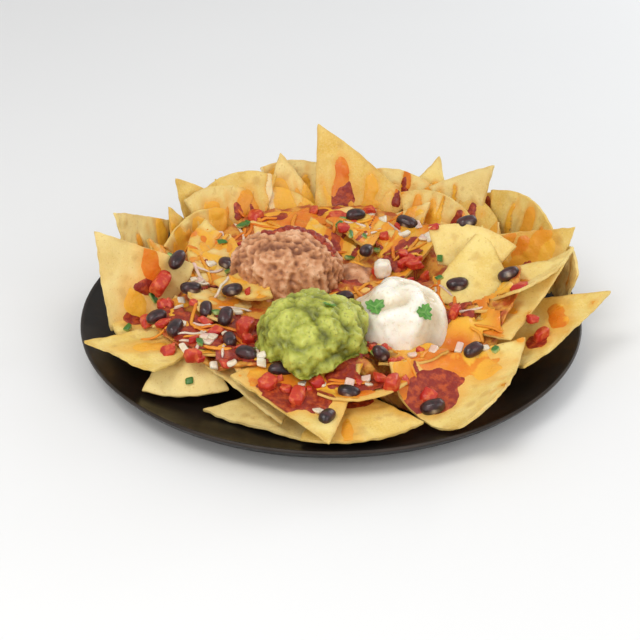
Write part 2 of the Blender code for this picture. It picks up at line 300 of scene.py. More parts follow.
def make_mottle():
    """Soft-edged patches of a size: Patch is 0 to 1."""
    group, inside, outside = new_group(
        "mottle",
        (("Size", 0.01), ("Share", 0.5), ("Softness", 0.15), ("Detail", 3.0)),
        (("Patch", "NodeSocketFloat"),),
    )
    place = add_node(group, "ShaderNodeTexCoord").outputs["Object"]
    texture = add_node(group, "ShaderNodeTexNoise", Vector=place, Detail=inside.outputs["Detail"])
    group.links.new(scale_from(group, inside.outputs["Size"]), texture.inputs["Scale"])
    edge = add_node(group, "ShaderNodeMath", {"operation": "SUBTRACT"})
    edge.inputs[0].default_value = 1.0
    group.links.new(inside.outputs["Share"], edge.inputs[1])
    over = add_node(group, "ShaderNodeMath", {"operation": "SUBTRACT"})
    group.links.new(texture.outputs["Fac"], over.inputs[0])
    group.links.new(edge.outputs[0], over.inputs[1])
    sharp = add_node(group, "ShaderNodeMath", {"operation": "DIVIDE"})
    group.links.new(over.outputs[0], sharp.inputs[0])
    group.links.new(inside.outputs["Softness"], sharp.inputs[1])
    centred = add_node(group, "ShaderNodeMath", {"operation": "ADD", "use_clamp": True})
    group.links.new(sharp.outputs[0], centred.inputs[0])
    centred.inputs[1].default_value = 0.5
    group.links.new(centred.outputs[0], outside.inputs["Patch"])
    return group


def make_grain():
    """Fine relief in two sizes: a normal, and the height that it comes from."""
    group, inside, outside = new_group(
        "grain",
        (("Coarse Size", 0.004), ("Fine Size", 0.001), ("Fine Share", 0.4), ("Depth", 0.0005)),
        (("Normal", "NodeSocketVector"), ("Height", "NodeSocketFloat")),
    )
    place = add_node(group, "ShaderNodeTexCoord").outputs["Object"]
    coarse = add_node(group, "ShaderNodeTexNoise", Vector=place, Detail=2.0)
    fine = add_node(group, "ShaderNodeTexNoise", Vector=place, Detail=3.0)
    group.links.new(scale_from(group, inside.outputs["Coarse Size"]), coarse.inputs["Scale"])
    group.links.new(scale_from(group, inside.outputs["Fine Size"]), fine.inputs["Scale"])
    both = tree_mix(group, inside.outputs["Fine Share"], coarse.outputs["Fac"], fine.outputs["Fac"])
    bump = add_node(group, "ShaderNodeBump", Height=both, Strength=1.0)
    group.links.new(inside.outputs["Depth"], bump.inputs["Distance"])
    group.links.new(bump.outputs[0], outside.inputs["Normal"])
    group.links.new(both, outside.inputs["Height"])
    return group


def tree_mix(tree, share, first, second):
    """The value between two others."""
    mix = tree.nodes.new("ShaderNodeMix")
    for index, value in ((0, share), (2, first), (3, second)):
        if isinstance(value, bpy.types.NodeSocket):
            tree.links.new(value, mix.inputs[index])
        else:
            mix.inputs[index].default_value = value
    return mix.outputs[0]


MOTTLE = make_mottle()
GRAIN = make_grain()


def patches(tree, size, share, softness=0.15, detail=3.0):
    """The mottle group in a material, with its own values."""
    made = tree.nodes.new("ShaderNodeGroup")
    made.node_tree = MOTTLE
    for name, value in (("Size", size), ("Share", share), ("Softness", softness), ("Detail", detail)):
        made.inputs[name].default_value = value
    return made.outputs["Patch"]


def grain(tree, coarse, fine, fine_share, depth):
    """The grain group in a material, with its own values."""
    made = tree.nodes.new("ShaderNodeGroup")
    made.node_tree = GRAIN
    values = (("Coarse Size", coarse), ("Fine Size", fine), ("Fine Share", fine_share), ("Depth", depth))
    for name, value in values:
        made.inputs[name].default_value = value
    return made.outputs


def new_material(name, roughness, subsurface=0.0, radius=(1, 0.4, 0.2), scale=2 * MM, **sockets):
    """A material with one Principled shader; its constants are set on the shader's own sockets."""
    material = bpy.data.materials.new(name)
    material.use_nodes = True
    shader = material.node_tree.nodes["Principled BSDF"]
    shader.inputs["Roughness"].default_value = roughness
    shader.inputs["Subsurface Weight"].default_value = subsurface
    shader.inputs["Subsurface Radius"].default_value = radius
    shader.inputs["Subsurface Scale"].default_value = scale
    for socket, value in sockets.items():
        shader.inputs[socket.replace("_", " ")].default_value = value
    return material, material.node_tree, shader


def link(tree, shader, **outputs):
    for socket, value in outputs.items():
        tree.links.new(value, shader.inputs[socket.replace("_", " ")])


def make_plate_material():
    """Near-black glaze with faint brown clouds, fine pits and uneven gloss."""
    material, tree, shader = new_material("plate_glaze", 0.34, Specular_IOR_Level=0.18, Coat_Weight=0.02)
    cloud = patches(tree, 30 * MM, 0.5, 0.3)
    speck = patches(tree, 0.9 * MM, 0.24, 0.05, 1.0)
    colour = blend(tree, cloud, (0.006, 0.005, 0.0045), (0.014, 0.010, 0.008))
    colour = blend(tree, speck, colour, (0.045, 0.038, 0.034))
    worn = own_mark(tree, "edge")
    colour = blend(tree, worn, colour, (0.060, 0.045, 0.036))
    relief = grain(tree, 9 * MM, 0.7 * MM, 0.25, 0.12 * MM)
    link(tree, shader, Base_Color=colour, Normal=relief["Normal"])
    link(tree, shader, Roughness=reach(tree, patches(tree, 14 * MM, 0.5, 0.4), 0, 1, 0.3, 0.44))
    return material


def make_chip_material():
    """Fried maize: yellow, mottled, darker on its blisters and rim, with oil near the cheese."""
    material, tree, shader = new_material("fried_maize", 0.6, 0.05, (1, 0.6, 0.2), 1.5 * MM)
    tone = own_mark(tree, "tone")
    colour = blend(tree, patches(tree, 15 * MM, 0.5, 0.25), (0.87, 0.68, 0.22), (0.79, 0.54, 0.11))
    # tone: the chip's own pale to deep maize; on the listed chips it is partly painted light, paler in shade and deeper
    # in bright light
    colour = blend(tree, reach(tree, tone, -1, 0, 0.55, 0), colour, (0.92, 0.77, 0.38))
    colour = blend(tree, reach(tree, tone, 0, 1, 0, 0.6), colour, (0.75, 0.46, 0.07))
    meal = patches(tree, 1.1 * MM, 0.45, 0.16, 2.0)
    colour = blend(tree, reach(tree, meal, 0, 1, 0, 0.28), colour, (0.93, 0.72, 0.34))
    bran = patches(tree, 1.7 * MM, 0.33, 0.06, 2.0)
    colour = blend(tree, reach(tree, bran, 0, 1, 0, 0.4), colour, (0.58, 0.33, 0.07))
    colour = blend(tree, own_mark(tree, "oil"), colour, (0.80, 0.36, 0.03))
    colour = blend(tree, own_mark(tree, "toast"), colour, (0.52, 0.27, 0.05))
    relief = grain(tree, 2.4 * MM, 0.6 * MM, 0.45, 0.42 * MM)
    link(tree, shader, Base_Color=colour, Normal=relief["Normal"])
    link(tree, shader, Roughness=reach(tree, own_mark(tree, "oil"), 0, 1, 0.62, 0.34))
    return material


def make_cheese_material():
    """Melted cheese from pale to orange by the mark "hue": smooth, oily, with darker flecks."""
    roughness = 0.32
    material, tree, shader = new_material("melted_cheese", roughness, 0.12, (1, 0.45, 0.1), 3 * MM, Specular_IOR_Level=0.35)
    hue = own_mark(tree, "hue")
    colour = blend(tree, reach(tree, hue, -1, 0), (0.90, 0.74, 0.40), (0.86, 0.47, 0.045))
    colour = blend(tree, reach(tree, hue, 0, 1), colour, (0.72, 0.165, 0.009))
    colour = blend(tree, reach(tree, patches(tree, 9 * MM, 0.5, 0.3), 0, 1, 0, 0.3), colour, (0.90, 0.42, 0.04))
    colour = blend(tree, reach(tree, patches(tree, 2.2 * MM, 0.3, 0.08), 0, 1, 0, 0.35), colour, (0.60, 0.20, 0.02))
    relief = grain(tree, 4 * MM, 1.2 * MM, 0.3, 0.5 * MM)
    link(tree, shader, Base_Color=colour, Normal=relief["Normal"])
    link(tree, shader, Roughness=reach(tree, patches(tree, 5 * MM, 0.5, 0.3), 0, 1, roughness - 0.08, roughness + 0.15))
    return material


def make_wet_material(name, base, spots, spot_size, spot_share, roughness, depth, subsurface=0.15):
    """Something moist in two colours, with relief."""
    material, tree, shader = new_material(name, roughness, subsurface, (1, 0.45, 0.3), 2 * MM)
    colour = blend(tree, patches(tree, spot_size, spot_share, 0.18), base, spots)
    relief = grain(tree, spot_size * 0.6, spot_size * 0.2, 0.35, depth)
    link(tree, shader, Base_Color=colour, Normal=relief["Normal"])
    link(tree, shader, Roughness=reach(tree, relief["Height"], 0.3, 0.7, roughness - 0.1, roughness + 0.15))
    return material


def make_mound_material(name, low, middle, high, roughness, depth, subsurface):
    """A mound in three colours by its mark from hollows to ridges: painted shade in its hollows, its own colour, and a
    painted highlight on its ridges.
    """
    material, tree, shader = new_material(name, roughness, subsurface, (1, 0.6, 0.35), 2.5 * MM)
    ridge = own_mark(tree, "ridge")
    # painted shade in the hollows, through the mound's own colour, to a painted highlight on the ridges
    colour = blend(tree, reach(tree, ridge, 0, 0.5), low, middle)
    colour = blend(tree, reach(tree, ridge, 0.5, 1), colour, high)
    fleck = patches(tree, 1.8 * MM, 0.36, 0.1, 2.0)
    colour = blend(tree, reach(tree, fleck, 0, 1, 0, 0.5), colour, low)
    relief = grain(tree, 3 * MM, 0.9 * MM, 0.4, depth)
    link(tree, shader, Base_Color=colour, Normal=relief["Normal"])
    link(tree, shader, Roughness=reach(tree, patches(tree, 4 * MM, 0.5, 0.3), 0, 1, roughness - 0.12, roughness + 0.12))
    return material


def make_bean_material():
    """Black bean skin: nearly black with a wine sheen, wrinkled, with a pale eye."""
    material, tree, shader = new_material("black_bean_skin", 0.3, Coat_Weight=0.1, Coat_Roughness=0.25)
    colour = blend(tree, patches(tree, 3.5 * MM, 0.5, 0.2), (0.018, 0.007, 0.008), (0.060, 0.018, 0.020))
    colour = blend(tree, own_mark(tree, "eye"), colour, (0.42, 0.34, 0.27))
    relief = grain(tree, 2.2 * MM, 0.5 * MM, 0.2, 0.25 * MM)
    link(tree, shader, Base_Color=colour, Normal=relief["Normal"])
    return material


def make_tomato_material():
    """Diced tomato: deep red skin on one side, paler wet flesh on the others."""
    material, tree, shader = new_material("tomato_flesh", 0.36, 0.1, (1, 0.25, 0.12), 2.5 * MM)
    flesh = blend(tree, patches(tree, 3 * MM, 0.45, 0.12), (0.54, 0.036, 0.014), (0.68, 0.12, 0.035))
    colour = blend(tree, own_mark(tree, "skin"), flesh, (0.46, 0.015, 0.010))
    relief = grain(tree, 2.2 * MM, 0.6 * MM, 0.4, 0.4 * MM)
    link(tree, shader, Base_Color=colour, Normal=relief["Normal"])
    return material


def make_onion_material():
    """Raw onion: nearly white, a little see-through, mottled, with its skin where marked."""
    material, tree, shader = new_material("raw_onion", 0.3, 0.35, (1, 0.9, 0.75), 3 * MM)
    colour = blend(tree, patches(tree, 4 * MM, 0.5, 0.25), (0.84, 0.76, 0.60), (0.74, 0.60, 0.42))
    colour = blend(tree, own_mark(tree, "skin"), colour, (0.78, 0.50, 0.42))
    relief = grain(tree, 2 * MM, 0.5 * MM, 0.3, 0.2 * MM)
    link(tree, shader, Base_Color=colour, Normal=relief["Normal"])
    return material


def make_pepper_material():
    """Green pepper and onion tops: dark skin outside, pale flesh where cut."""
    material, tree, shader = new_material("green_pepper", 0.3, 0.15, (0.5, 1, 0.3), 2 * MM)
    flesh = blend(tree, patches(tree, 2.5 * MM, 0.5, 0.2), (0.30, 0.42, 0.09), (0.44, 0.52, 0.18))
    colour = blend(tree, own_mark(tree, "skin"), flesh, (0.050, 0.17, 0.022))
    relief = grain(tree, 1.8 * MM, 0.5 * MM, 0.4, 0.25 * MM)
    link(tree, shader, Base_Color=colour, Normal=relief["Normal"])
    return material


def make_leaf_material():
    """Fresh coriander: green with paler veins."""
    material, tree, shader = new_material("coriander_leaf", 0.42, 0.1, (0.4, 1, 0.2), 1 * MM)
    colour = blend(tree, patches(tree, 2 * MM, 0.5, 0.25), (0.055, 0.21, 0.022), (0.12, 0.33, 0.045))
    colour = blend(tree, own_mark(tree, "vein"), colour, (0.26, 0.46, 0.13))
    relief = grain(tree, 1.2 * MM, 0.4 * MM, 0.3, 0.2 * MM)
    link(tree, shader, Base_Color=colour, Normal=relief["Normal"])
    return material


PLATE_GLAZE = make_plate_material()
MAIZE = make_chip_material()
CHEESE = make_cheese_material()
SALSA = make_wet_material("salsa_pulp", (0.27, 0.018, 0.006), (0.50, 0.075, 0.012), 4 * MM, 0.45, 0.4, 0.9 * MM)
CORE = make_wet_material("filling_core", (0.46, 0.09, 0.015), (0.74, 0.34, 0.05), 7 * MM, 0.5, 0.42, 1.2 * MM)
# Each mound: the painted shade of its hollows, its own colour, and the painted highlight of its ridges
PASTE = make_mound_material(
    "bean_paste", (0.22, 0.072, 0.028), (0.58, 0.25, 0.105), (0.80, 0.45, 0.25), 0.5, 1.1 * MM, 0.08
)
AVOCADO = make_mound_material(
    "avocado", (0.12, 0.13, 0.012), (0.34, 0.36, 0.040), (0.54, 0.56, 0.10), 0.36, 0.7 * MM, 0.2
)
CREAM = make_mound_material(
    "cream", (0.70, 0.58, 0.40), (0.86, 0.79, 0.64), (0.93, 0.89, 0.80), 0.28, 0.2 * MM, 0.3
)
BEAN_SKIN = make_bean_material()
TOMATO = make_tomato_material()
ONION = make_onion_material()
PEPPER = make_pepper_material()
LEAF = make_leaf_material()


# ---------------------------------------------------------------- plate


def arc(middle_x, middle_z, radius, start, stop, steps):
    """Points along a round stretch of a profile; angles in degrees."""
    turns = (math.radians(start + (stop - start) * i / steps) for i in range(steps + 1))
    return [(middle_x + radius * math.cos(t), middle_z + radius * math.sin(t)) for t in turns]


def make_plate():
    """A coupe plate turned about Z: well, rising side, round lip, and a foot with a standing ring."""
    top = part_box("plate")[1]
    side = top.x - WELL_RADIUS
    rise = top.z - WELL_FLOOR

    def height(radius):
        return WELL_FLOOR + rise * max(0, (radius - WELL_RADIUS) / side) ** SIDE_CURVE

    well = [(WELL_RADIUS * t, WELL_FLOOR) for t in (0, 0.25, 0.5, 0.75, 0.95)]
    slope = [(radius, height(radius)) for radius in np.linspace(WELL_RADIUS, top.x - LIP, 22)]
    lip = arc(top.x - LIP / 2, top.z - LIP / 2, LIP / 2, 75, -80, 8)
    outside = [
        (radius, height(radius) - PLATE_THICKNESS)
        for radius in np.linspace(top.x - LIP * 1.6, FOOT_RADIUS + 6 * MM, 16)
    ]
    foot = arc(FOOT_RADIUS, FOOT_BEVEL, FOOT_BEVEL, 0, -90, 4)
    ring_inside = FOOT_RADIUS - FOOT_RING
    hollow = [(ring_inside, 0), (ring_inside - FOOT_DEPTH, FOOT_DEPTH), (0, FOOT_DEPTH)]
    profile = well + slope + lip + outside + foot + hollow
    bm = bmesh.new()
    line = [bm.verts.new((radius, 0, z)) for radius, z in profile]
    edges = [bm.edges.new(pair) for pair in zip(line, line[1:])]
    bmesh.ops.spin(
        bm, geom=line + edges, cent=(0, 0, 0), axis=(0, 0, 1), angle=2 * math.pi,
        steps=PLATE_STEPS, use_merge=True,
    )
    bmesh.ops.remove_doubles(bm, verts=bm.verts, dist=WELD)
    bmesh.ops.recalc_face_normals(bm, faces=bm.faces)
    mesh = bpy.data.meshes.new("plate_glazed")
    bm.to_mesh(mesh)
    bm.free()
    points = points_of(mesh)
    out = np.hypot(points[:, 0], points[:, 1])
    worn = smooth_step(out, top.x - LIP * 0.8, top.x) * smooth_step(points[:, 2], top.z - LIP, top.z - LIP / 3)
    mark(mesh, "edge", worn * (0.6 + 0.4 * swell(points, 12 * MM)))
    return add_piece("plate_glazed", mesh, PLATE_GLAZE, "plate", "plate")


# ---------------------------------------------------------------- tortilla chips


def facing(faces):
    """How much a patch of faces looks towards the middle of the plate."""
    return sum(face.calc_area() * face.normal.dot(FOCUS - face.calc_center_median()) for face in faces)


def broad_sides(bm):
    """A chip's two broad sides as lists of faces, the inner one first."""
    left = list(bm.faces)
    seen = set()
    sides = []
    for first in left:
        if first in seen:
            continue
        seen.add(first)
        patch, edge_of_patch = [], [first]
        while edge_of_patch:
            face = edge_of_patch.pop()
            patch.append(face)
            for edge in face.edges:
                if edge.calc_face_angle(0) > RIM_ANGLE:
                    continue
                for other in edge.link_faces:
                    if other not in seen:
                        seen.add(other)
                        edge_of_patch.append(other)
        sides.append(patch)
    sides.sort(key=lambda patch: -sum(face.calc_area() for face in patch))
    return sorted(sides[:2], key=facing, reverse=True)


def rim_samples(bm):
    """Points along the sharp edges, about a millimetre apart."""
    samples = []
    for edge in bm.edges:
        if edge.calc_face_angle(0) > RIM_ANGLE:
            steps = max(1, round(edge.calc_length() / MM))
            first, last = edge.verts[0].co, edge.verts[1].co
            samples += [tuple(first.lerp(last, i / steps)) for i in range(steps + 1)]
    return np.array(samples)


def nearest_gap(points, samples):
    """How far each point is from the nearest of the samples."""
    gap = np.full(len(points), np.inf)
    for start in range(0, len(samples), 64):
        part = samples[start : start + 64]
        away = np.linalg.norm(points[:, None] - part[None], axis=2).min(axis=1)
        gap = np.minimum(gap, away)
    return gap


def sheet_normals(points, middles, normals):
    """Across a chip at each point, from the normals of the few cage faces around it."""
    weights = 1 / (np.linalg.norm(points[:, None] - middles[None], axis=2) ** 4 + (2 * MM) ** 4)
    across = weights @ normals
    return across / np.linalg.norm(across, axis=1, keepdims=True)


def fry(bm, seed, levels=CHIP_LEVELS, tone=None):
    """A chip's cage made into a thin, uneven, blistered and browned chip."""
    rng = random.Random(seed)
    inner, _ = broad_sides(bm)
    inner_mark = bm.verts.layers.float.new("inner")
    for face in inner:
        for vert in face.verts:
            vert[inner_mark] = 1
    crease = bm.edges.layers.float.new("crease_edge")
    for edge in bm.edges:
        if edge.calc_face_angle(0) > RIM_ANGLE:
            edge[crease] = RIM_CREASE
    rim = rim_samples(bm)
    middles = np.array([face.calc_center_median() for face in inner])
    normals = np.array([face.normal for face in inner])
    mesh = subdivided(bm, levels)
    points = points_of(mesh)
    own = normals_of(mesh)
    across = sheet_normals(points, middles, normals)
    from_rim = nearest_gap(points, rim)
    place = seed * 1.37
    wave = WAVE * swell(points, WAVE_SIZE, place) + RIPPLE * swell(points, RIPPLE_SIZE, place + 4)
    rise = np.zeros(len(points))
    toast = np.zeros(len(points))
    inside = np.flatnonzero(from_rim > 2.5 * MM)
    for _ in range(BLISTERS if len(inside) else 0):
        radius = rng.uniform(*BLISTER_RADII) * MM
        spot = dome(gaps(points, points[rng.choice(inside)]), radius)
        rise = np.maximum(rise, rng.uniform(0.35, 1) * BLISTER_RISE * spot**0.8 * radius / (4 * MM))
        toast = np.maximum(toast, rng.uniform(0, 0.42) * smooth_step(spot, 0.25, 1))
    rise *= smooth_step(from_rim, 0, 3 * MM)
    fray = np.stack([swell(points, FRAY_SIZE, place + k) for k in (11, 17, 23)], axis=1)
    fray *= FRAY * (1 - smooth_step(from_rim, 0, 5 * MM))[:, None]
    move_points(mesh, points + across * wave[:, None] + own * rise[:, None] + fray)
    singed = (1 - smooth_step(from_rim, 0, SINGED_REACH)) * (0.30 + 0.35 * swell(points, 9 * MM, place + 2))
    spots = smooth_step(swell(points, 6 * MM, place + 8), 0.38, 0.6) * 0.35
    mark(mesh, "toast", np.clip(np.maximum(np.maximum(toast, singed), spots), 0, 0.8))
    # a random tone, or the listed one, which is partly painted light
    mark(mesh, "tone", np.full(len(points), rng.uniform(-1, 1) if tone is None else tone))
    mark(mesh, "oil", np.zeros(len(points)))
    return mesh


def sector(side, rim_up):
    """A flat sixth of a tortilla in XY: its tip, or the middle of its rim, at the origin, +Y up."""
    bm = bmesh.new()
    far = math.cos(HALF_ANGLE)
    half = math.sin(HALF_ANGLE)
    corners = [bm.verts.new(corner) for corner in ((0, 0, 0), (-half, -far, 0), (half, -far, 0))]
    bm.faces.new(corners)
    bmesh.ops.subdivide_edges(bm, edges=bm.edges, cuts=CHIP_ROWS - 1, use_grid_fill=True)
    for vert in bm.verts:
        along = -vert.co.y / far
        across = vert.co.x / (half * along) if along > 0.001 else 0
        vert.co.x = side * along * math.sin(across * HALF_ANGLE)
        vert.co.y = -side * along * math.cos(across * HALF_ANGLE)
        if rim_up:
            vert.co = (-vert.co.x, -vert.co.y - side, 0)
    return bm


def further_chip(tip, azimuth, slope, spin, side, rim_up, bend, seed, tone=None):
    """A chip that isn't in the model: its tip up at a place, rising outwards at a slope."""
    side = min(side, (tip[2] - CHIP_FLOOR) / math.sin(math.radians(slope)))
    bm = sector(side, rim_up)
    for vert in bm.verts:
        vert.co.z = bend * (vert.co.x / (side / 2)) ** 2
    bmesh.ops.rotate(bm, matrix=Matrix.Rotation(math.radians(spin), 3, "Z"), verts=bm.verts)
    bmesh.ops.recalc_face_normals(bm, faces=bm.faces)
    bmesh.ops.solidify(bm, geom=bm.faces[:], thickness=CHIP_THICKNESS)
    tilt = Matrix.Rotation(math.radians(azimuth - 90), 4, "Z") @ Matrix.Rotation(math.radians(slope), 4, "X")
    bmesh.ops.transform(bm, matrix=Matrix.Translation(tip) @ tilt, verts=bm.verts)
    return fry(bm, seed, FURTHER_LEVELS, tone)


def make_chips():
    """The chips that the model has, each from its own node."""
    return {name: fry(node_cage(name), seed, tone=TONES_AND_LIGHT_OFFSETS.get(name)) for seed, name in enumerate(CHIP_NODES, 1)}


# Chips leaning inside the crown: one at each azimuth in degrees, its tip just inside the crown
RING_AZIMUTHS = (38, 54, 104, 160)
RING_TIP, RING_INSET = 46 * MM, 5 * MM
# Chips lying in the heap: x, y and z of the tip (mm), azimuth it rises to, slope, spin, side (mm)
LYING = (
    (-84, 34, 44, 158, 24, 20, 50),
    (-60, 48, 43, 120, 18, -35, 46),
    (-12, 66, 45, 95, 20, 10, 48),
    (34, 60, 44, 62, 22, -20, 50),
    (66, 46, 43, 35, 16, -8, 44),
    (22, 30, 42, 200, 10, 80, 40),
    (-78, -28, 40, 190, 12, 15, 46),
    (-80, -76, 35, 222, 7, -10, 50),
    (92, -34, 38, 330, 14, -10, 42),
    (-52, -22, 40, 100, 10, 150, 36),
    (34, -76, 36, 290, 14, 30, 36),
)
# Chips behind the crown's gaps, given the same way
FILLING = (
    (-98, 65, 53, 147, 70, 8, 50),
    (-70, 92, 54, 128, 62, -10, 50),
    (100, 48, 52, 26, 66, 12, 52),
    (-50, -93, 32, 250, 7, 12, 40),
    (46, -82, 34, 300, 9, -16, 40),
    (-100, -46, 34, 205, 9, 20, 38),
    (-121, 17, 49, 176, 72, 6, 54),
)
# Pale chips round the heap, given the same way, then whether the rim is up, and the bend in mm.
# Nothing lies on the last one
PALE = (
    (18, -110, 29, 284, 12, 0, 50, True, 4),
    (-122, -28, 21, 200, 10, 10, 40, True, 4),
    (138, 8, 49, 30, 15, 0, 80, False, 4),
    (88, 24, 63, 80, 30, 0, 56, False, -9),
)
BARE_PLACE = (85, 2, 19, 25)  # where that is: x, y and radius along x and y (mm)
PALE_TONE = -0.2


def make_further_chips(crown):
    """Chips inside the crown and in the heap. crown is the search tree of the model's own chips."""
    rng = random.Random(7)
    made = []
    for index, azimuth in enumerate(RING_AZIMUTHS):
        turn = math.radians(azimuth)
        way = Vector((math.cos(turn), math.sin(turn), 0))
        height = RING_TIP + rng.uniform(-4, 6) * MM
        room = crown.ray_cast(Vector((0, 0, height)), way)[3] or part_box("nacho_heap")[1].x
        tip = way * (room - RING_INSET) + Vector((0, 0, height))
        spin, side = rng.uniform(-28, 28), rng.uniform(44, 56) * MM
        slope, bend = rng.uniform(46, 60), rng.uniform(2, 5) * MM
        made.append(further_chip(tip, azimuth, slope, spin, side, index % 2 == 0, bend, 100 + index))
    for index, (*tip, azimuth, slope, spin, side) in enumerate(LYING + FILLING):
        bend = rng.uniform(1, 5) * MM
        place = Vector(tip) * MM
        made.append(further_chip(place, azimuth, slope, spin, side * MM, index % 3 == 0, bend, 200 + index))
    made += [
        further_chip(Vector(tip) * MM, azimuth, slope, spin, side * MM, rim_up, bend * MM, 300 + index, PALE_TONE)
        for index, (*tip, azimuth, slope, spin, side, rim_up, bend) in enumerate(PALE)
    ]
    return made


# ---------------------------------------------------------------- core, films of cheese and salsa


def make_core():
    """The heap's core: its outline let down a little, with the lumps of what is in it."""
    mesh = subdivided(node_cage("nacho_heap"), 2)
    points = points_of(mesh)
    lump = 0.5 - cells(points, 9 * MM)
    out = np.hypot(points[:, 0], points[:, 1])
    points[:, 2] -= CORE_DROP * (1 - 0.5 * smooth_step(out, 74 * MM, 98 * MM))
    front = smooth_step(-points[:, 1], 10 * MM, 45 * MM) * smooth_step(points[:, 0], -50 * MM, -25 * MM)
    front *= 1 - smooth_step(points[:, 0], 16 * MM, 42 * MM)
    points[:, :2] *= (1 - 0.62 * front * np.maximum(0, out - CORE_REACH) / out)[:, None]
    for x, y, radius, rise in CORE_LUMPS:
        points[:, 2] += rise * MM * dome(gaps(points[:, :2], (x * MM, y * MM)), radius * MM)
    points += normals_of(mesh) * (2.6 * MM * lump + 0.8 * MM * swell(points, 4 * MM, 3))[:, None]
    points[:, 2] = np.maximum(points[:, 2], WELL_FLOOR + 0.5 * MM)
    move_points(mesh, points)
    return mesh


def height_grid(meshes):
    """A square grid's line of places, what is highest at each of its points, and which mesh that is."""
    tree = tree_of(meshes)
    owners = np.repeat(np.arange(len(meshes)), [len(mesh.polygons) for mesh in meshes])
    line = np.arange(-GRID_REACH, GRID_REACH, GRID_PITCH)
    heights = np.zeros((len(line), len(line)))
    owner = np.full(heights.shape, -1)
    for row, y in enumerate(line):
        for column, x in enumerate(line):
            hit, _, face, _ = tree.ray_cast(Vector((x, y, HIGH)), DOWN)
            if hit:
                heights[row, column] = hit.z
                owner[row, column] = owners[face]
    return line, heights, owner


def draped(heights, rounds):
    """A skin over the heights that bridges their hollows."""
    skin = heights.copy()
    for _ in range(rounds):
        around = sum(np.roll(skin, step, axis) for axis in (0, 1) for step in (1, -1)) / 4
        skin = np.maximum(skin, around - DRAPE_SAG)
    return skin


def cliffs(skin, ground, spread):
    """1 where a skin would fall or hang too far, falling to 0 a few points away."""
    jump = skin - ground > BRIDGE
    for axis in (0, 1):
        change = np.abs(np.diff(skin, axis=axis, append=0)) > CLIFF
        jump |= change | np.roll(change, 1, axis)
    for _ in range(spread):
        jump |= np.roll(jump, 1, 0) | np.roll(jump, -1, 0) | np.roll(jump, 1, 1) | np.roll(jump, -1, 1)
    soft = jump.astype(float)
    for _ in range(spread + 1):
        soft = 0.2 * (soft + sum(np.roll(soft, step, axis) for axis in (0, 1) for step in (1, -1)))
    return soft


def film_mesh(name, line, ground, mask, rise, rounds=DRAPE_ROUNDS, lumps=None):
    """A film over the ground where the mask is above 0, rounded at its edges."""
    skin = draped(ground, rounds)
    mask = mask - 1.8 * cliffs(skin, ground, 1)
    cover = np.clip(mask * 6, 0, 1)
    thickness = rise * np.sqrt(np.clip(mask / 0.35, 0, 1)) + 9 * MM * np.minimum(mask, 0)
    heights = ground + (skin - ground) * cover + thickness
    if lumps is not None:
        heights += lumps * cover
    across, along = np.meshgrid(line, line)
    points = np.stack([across.ravel(), along.ravel(), heights.ravel()], axis=1)
    kept = mask > -0.12
    count = len(line)
    rows, columns = np.nonzero(kept[:-1, :-1] & kept[1:, :-1] & kept[:-1, 1:] & kept[1:, 1:])
    first = rows * count + columns
    quads = np.stack([first, first + 1, first + 1 + count, first + count], axis=1)
    used, quads = np.unique(quads, return_inverse=True)
    return mesh_from(name, points[used], quads.reshape(-1, 4).tolist())


# Pools and clear places: x, y (mm), radius along x and y (mm), and how much more (or less) there is
CHEESE_PLACES = (
    (-66, 42, 26, 14, 0.5),
    (30, -88, 14, 8, 0.7),
    (-100, -6, 10, 24, 0.5),
    (-12, 92, 40, 12, 0.5),
    (20, 88, 22, 16, 0.4),
    (82, -46, 24, 12, 0.9),
    (92, -28, 14, 16, 0.9),
    (110, 30, 16, 30, 0.4),
    (60, 60, 26, 18, 0.3),
    (44, -98, 30, 22, -1.0),
    (-18, -108, 30, 12, -0.8),
    (-75, -62, 20, 20, -0.6),
    (-26, 10, 40, 30, -0.8),
    (50, 21, 15, 12, -1.3),
    (84, 30, 20, 20, -0.4),
)
SALSA_PLACES = (
    (44, -98, 27, 20, 1.1),
    (-18, -103, 34, 12, 1.0),
    (14, -94, 22, 10, 0.9),
    (-56, -80, 16, 12, 0.6),
    (-86, -66, 14, 12, 0.6),
    (50, 21, 13, 11, 1.5),
    (-72, -52, 26, 22, 0.8),
    (-60, -76, 16, 10, 0.9),
    (-94, -30, 12, 28, 0.7),
    (-44, -58, 12, 14, 0.8),
    (4, 50, 20, 8, 0.6),
    (72, -26, 14, 14, 0.5),
    (30, 96, 12, 8, 0.6),
)


def places_mask(across, along, places):
    """The sum of the places' pools over the grid."""
    total = np.zeros_like(across)
    for x, y, wide, deep, more in places:
        away = ((across - x * MM) / (wide * MM)) ** 2 + ((along - y * MM) / (deep * MM)) ** 2
        total += more * np.exp(-away)
    return total


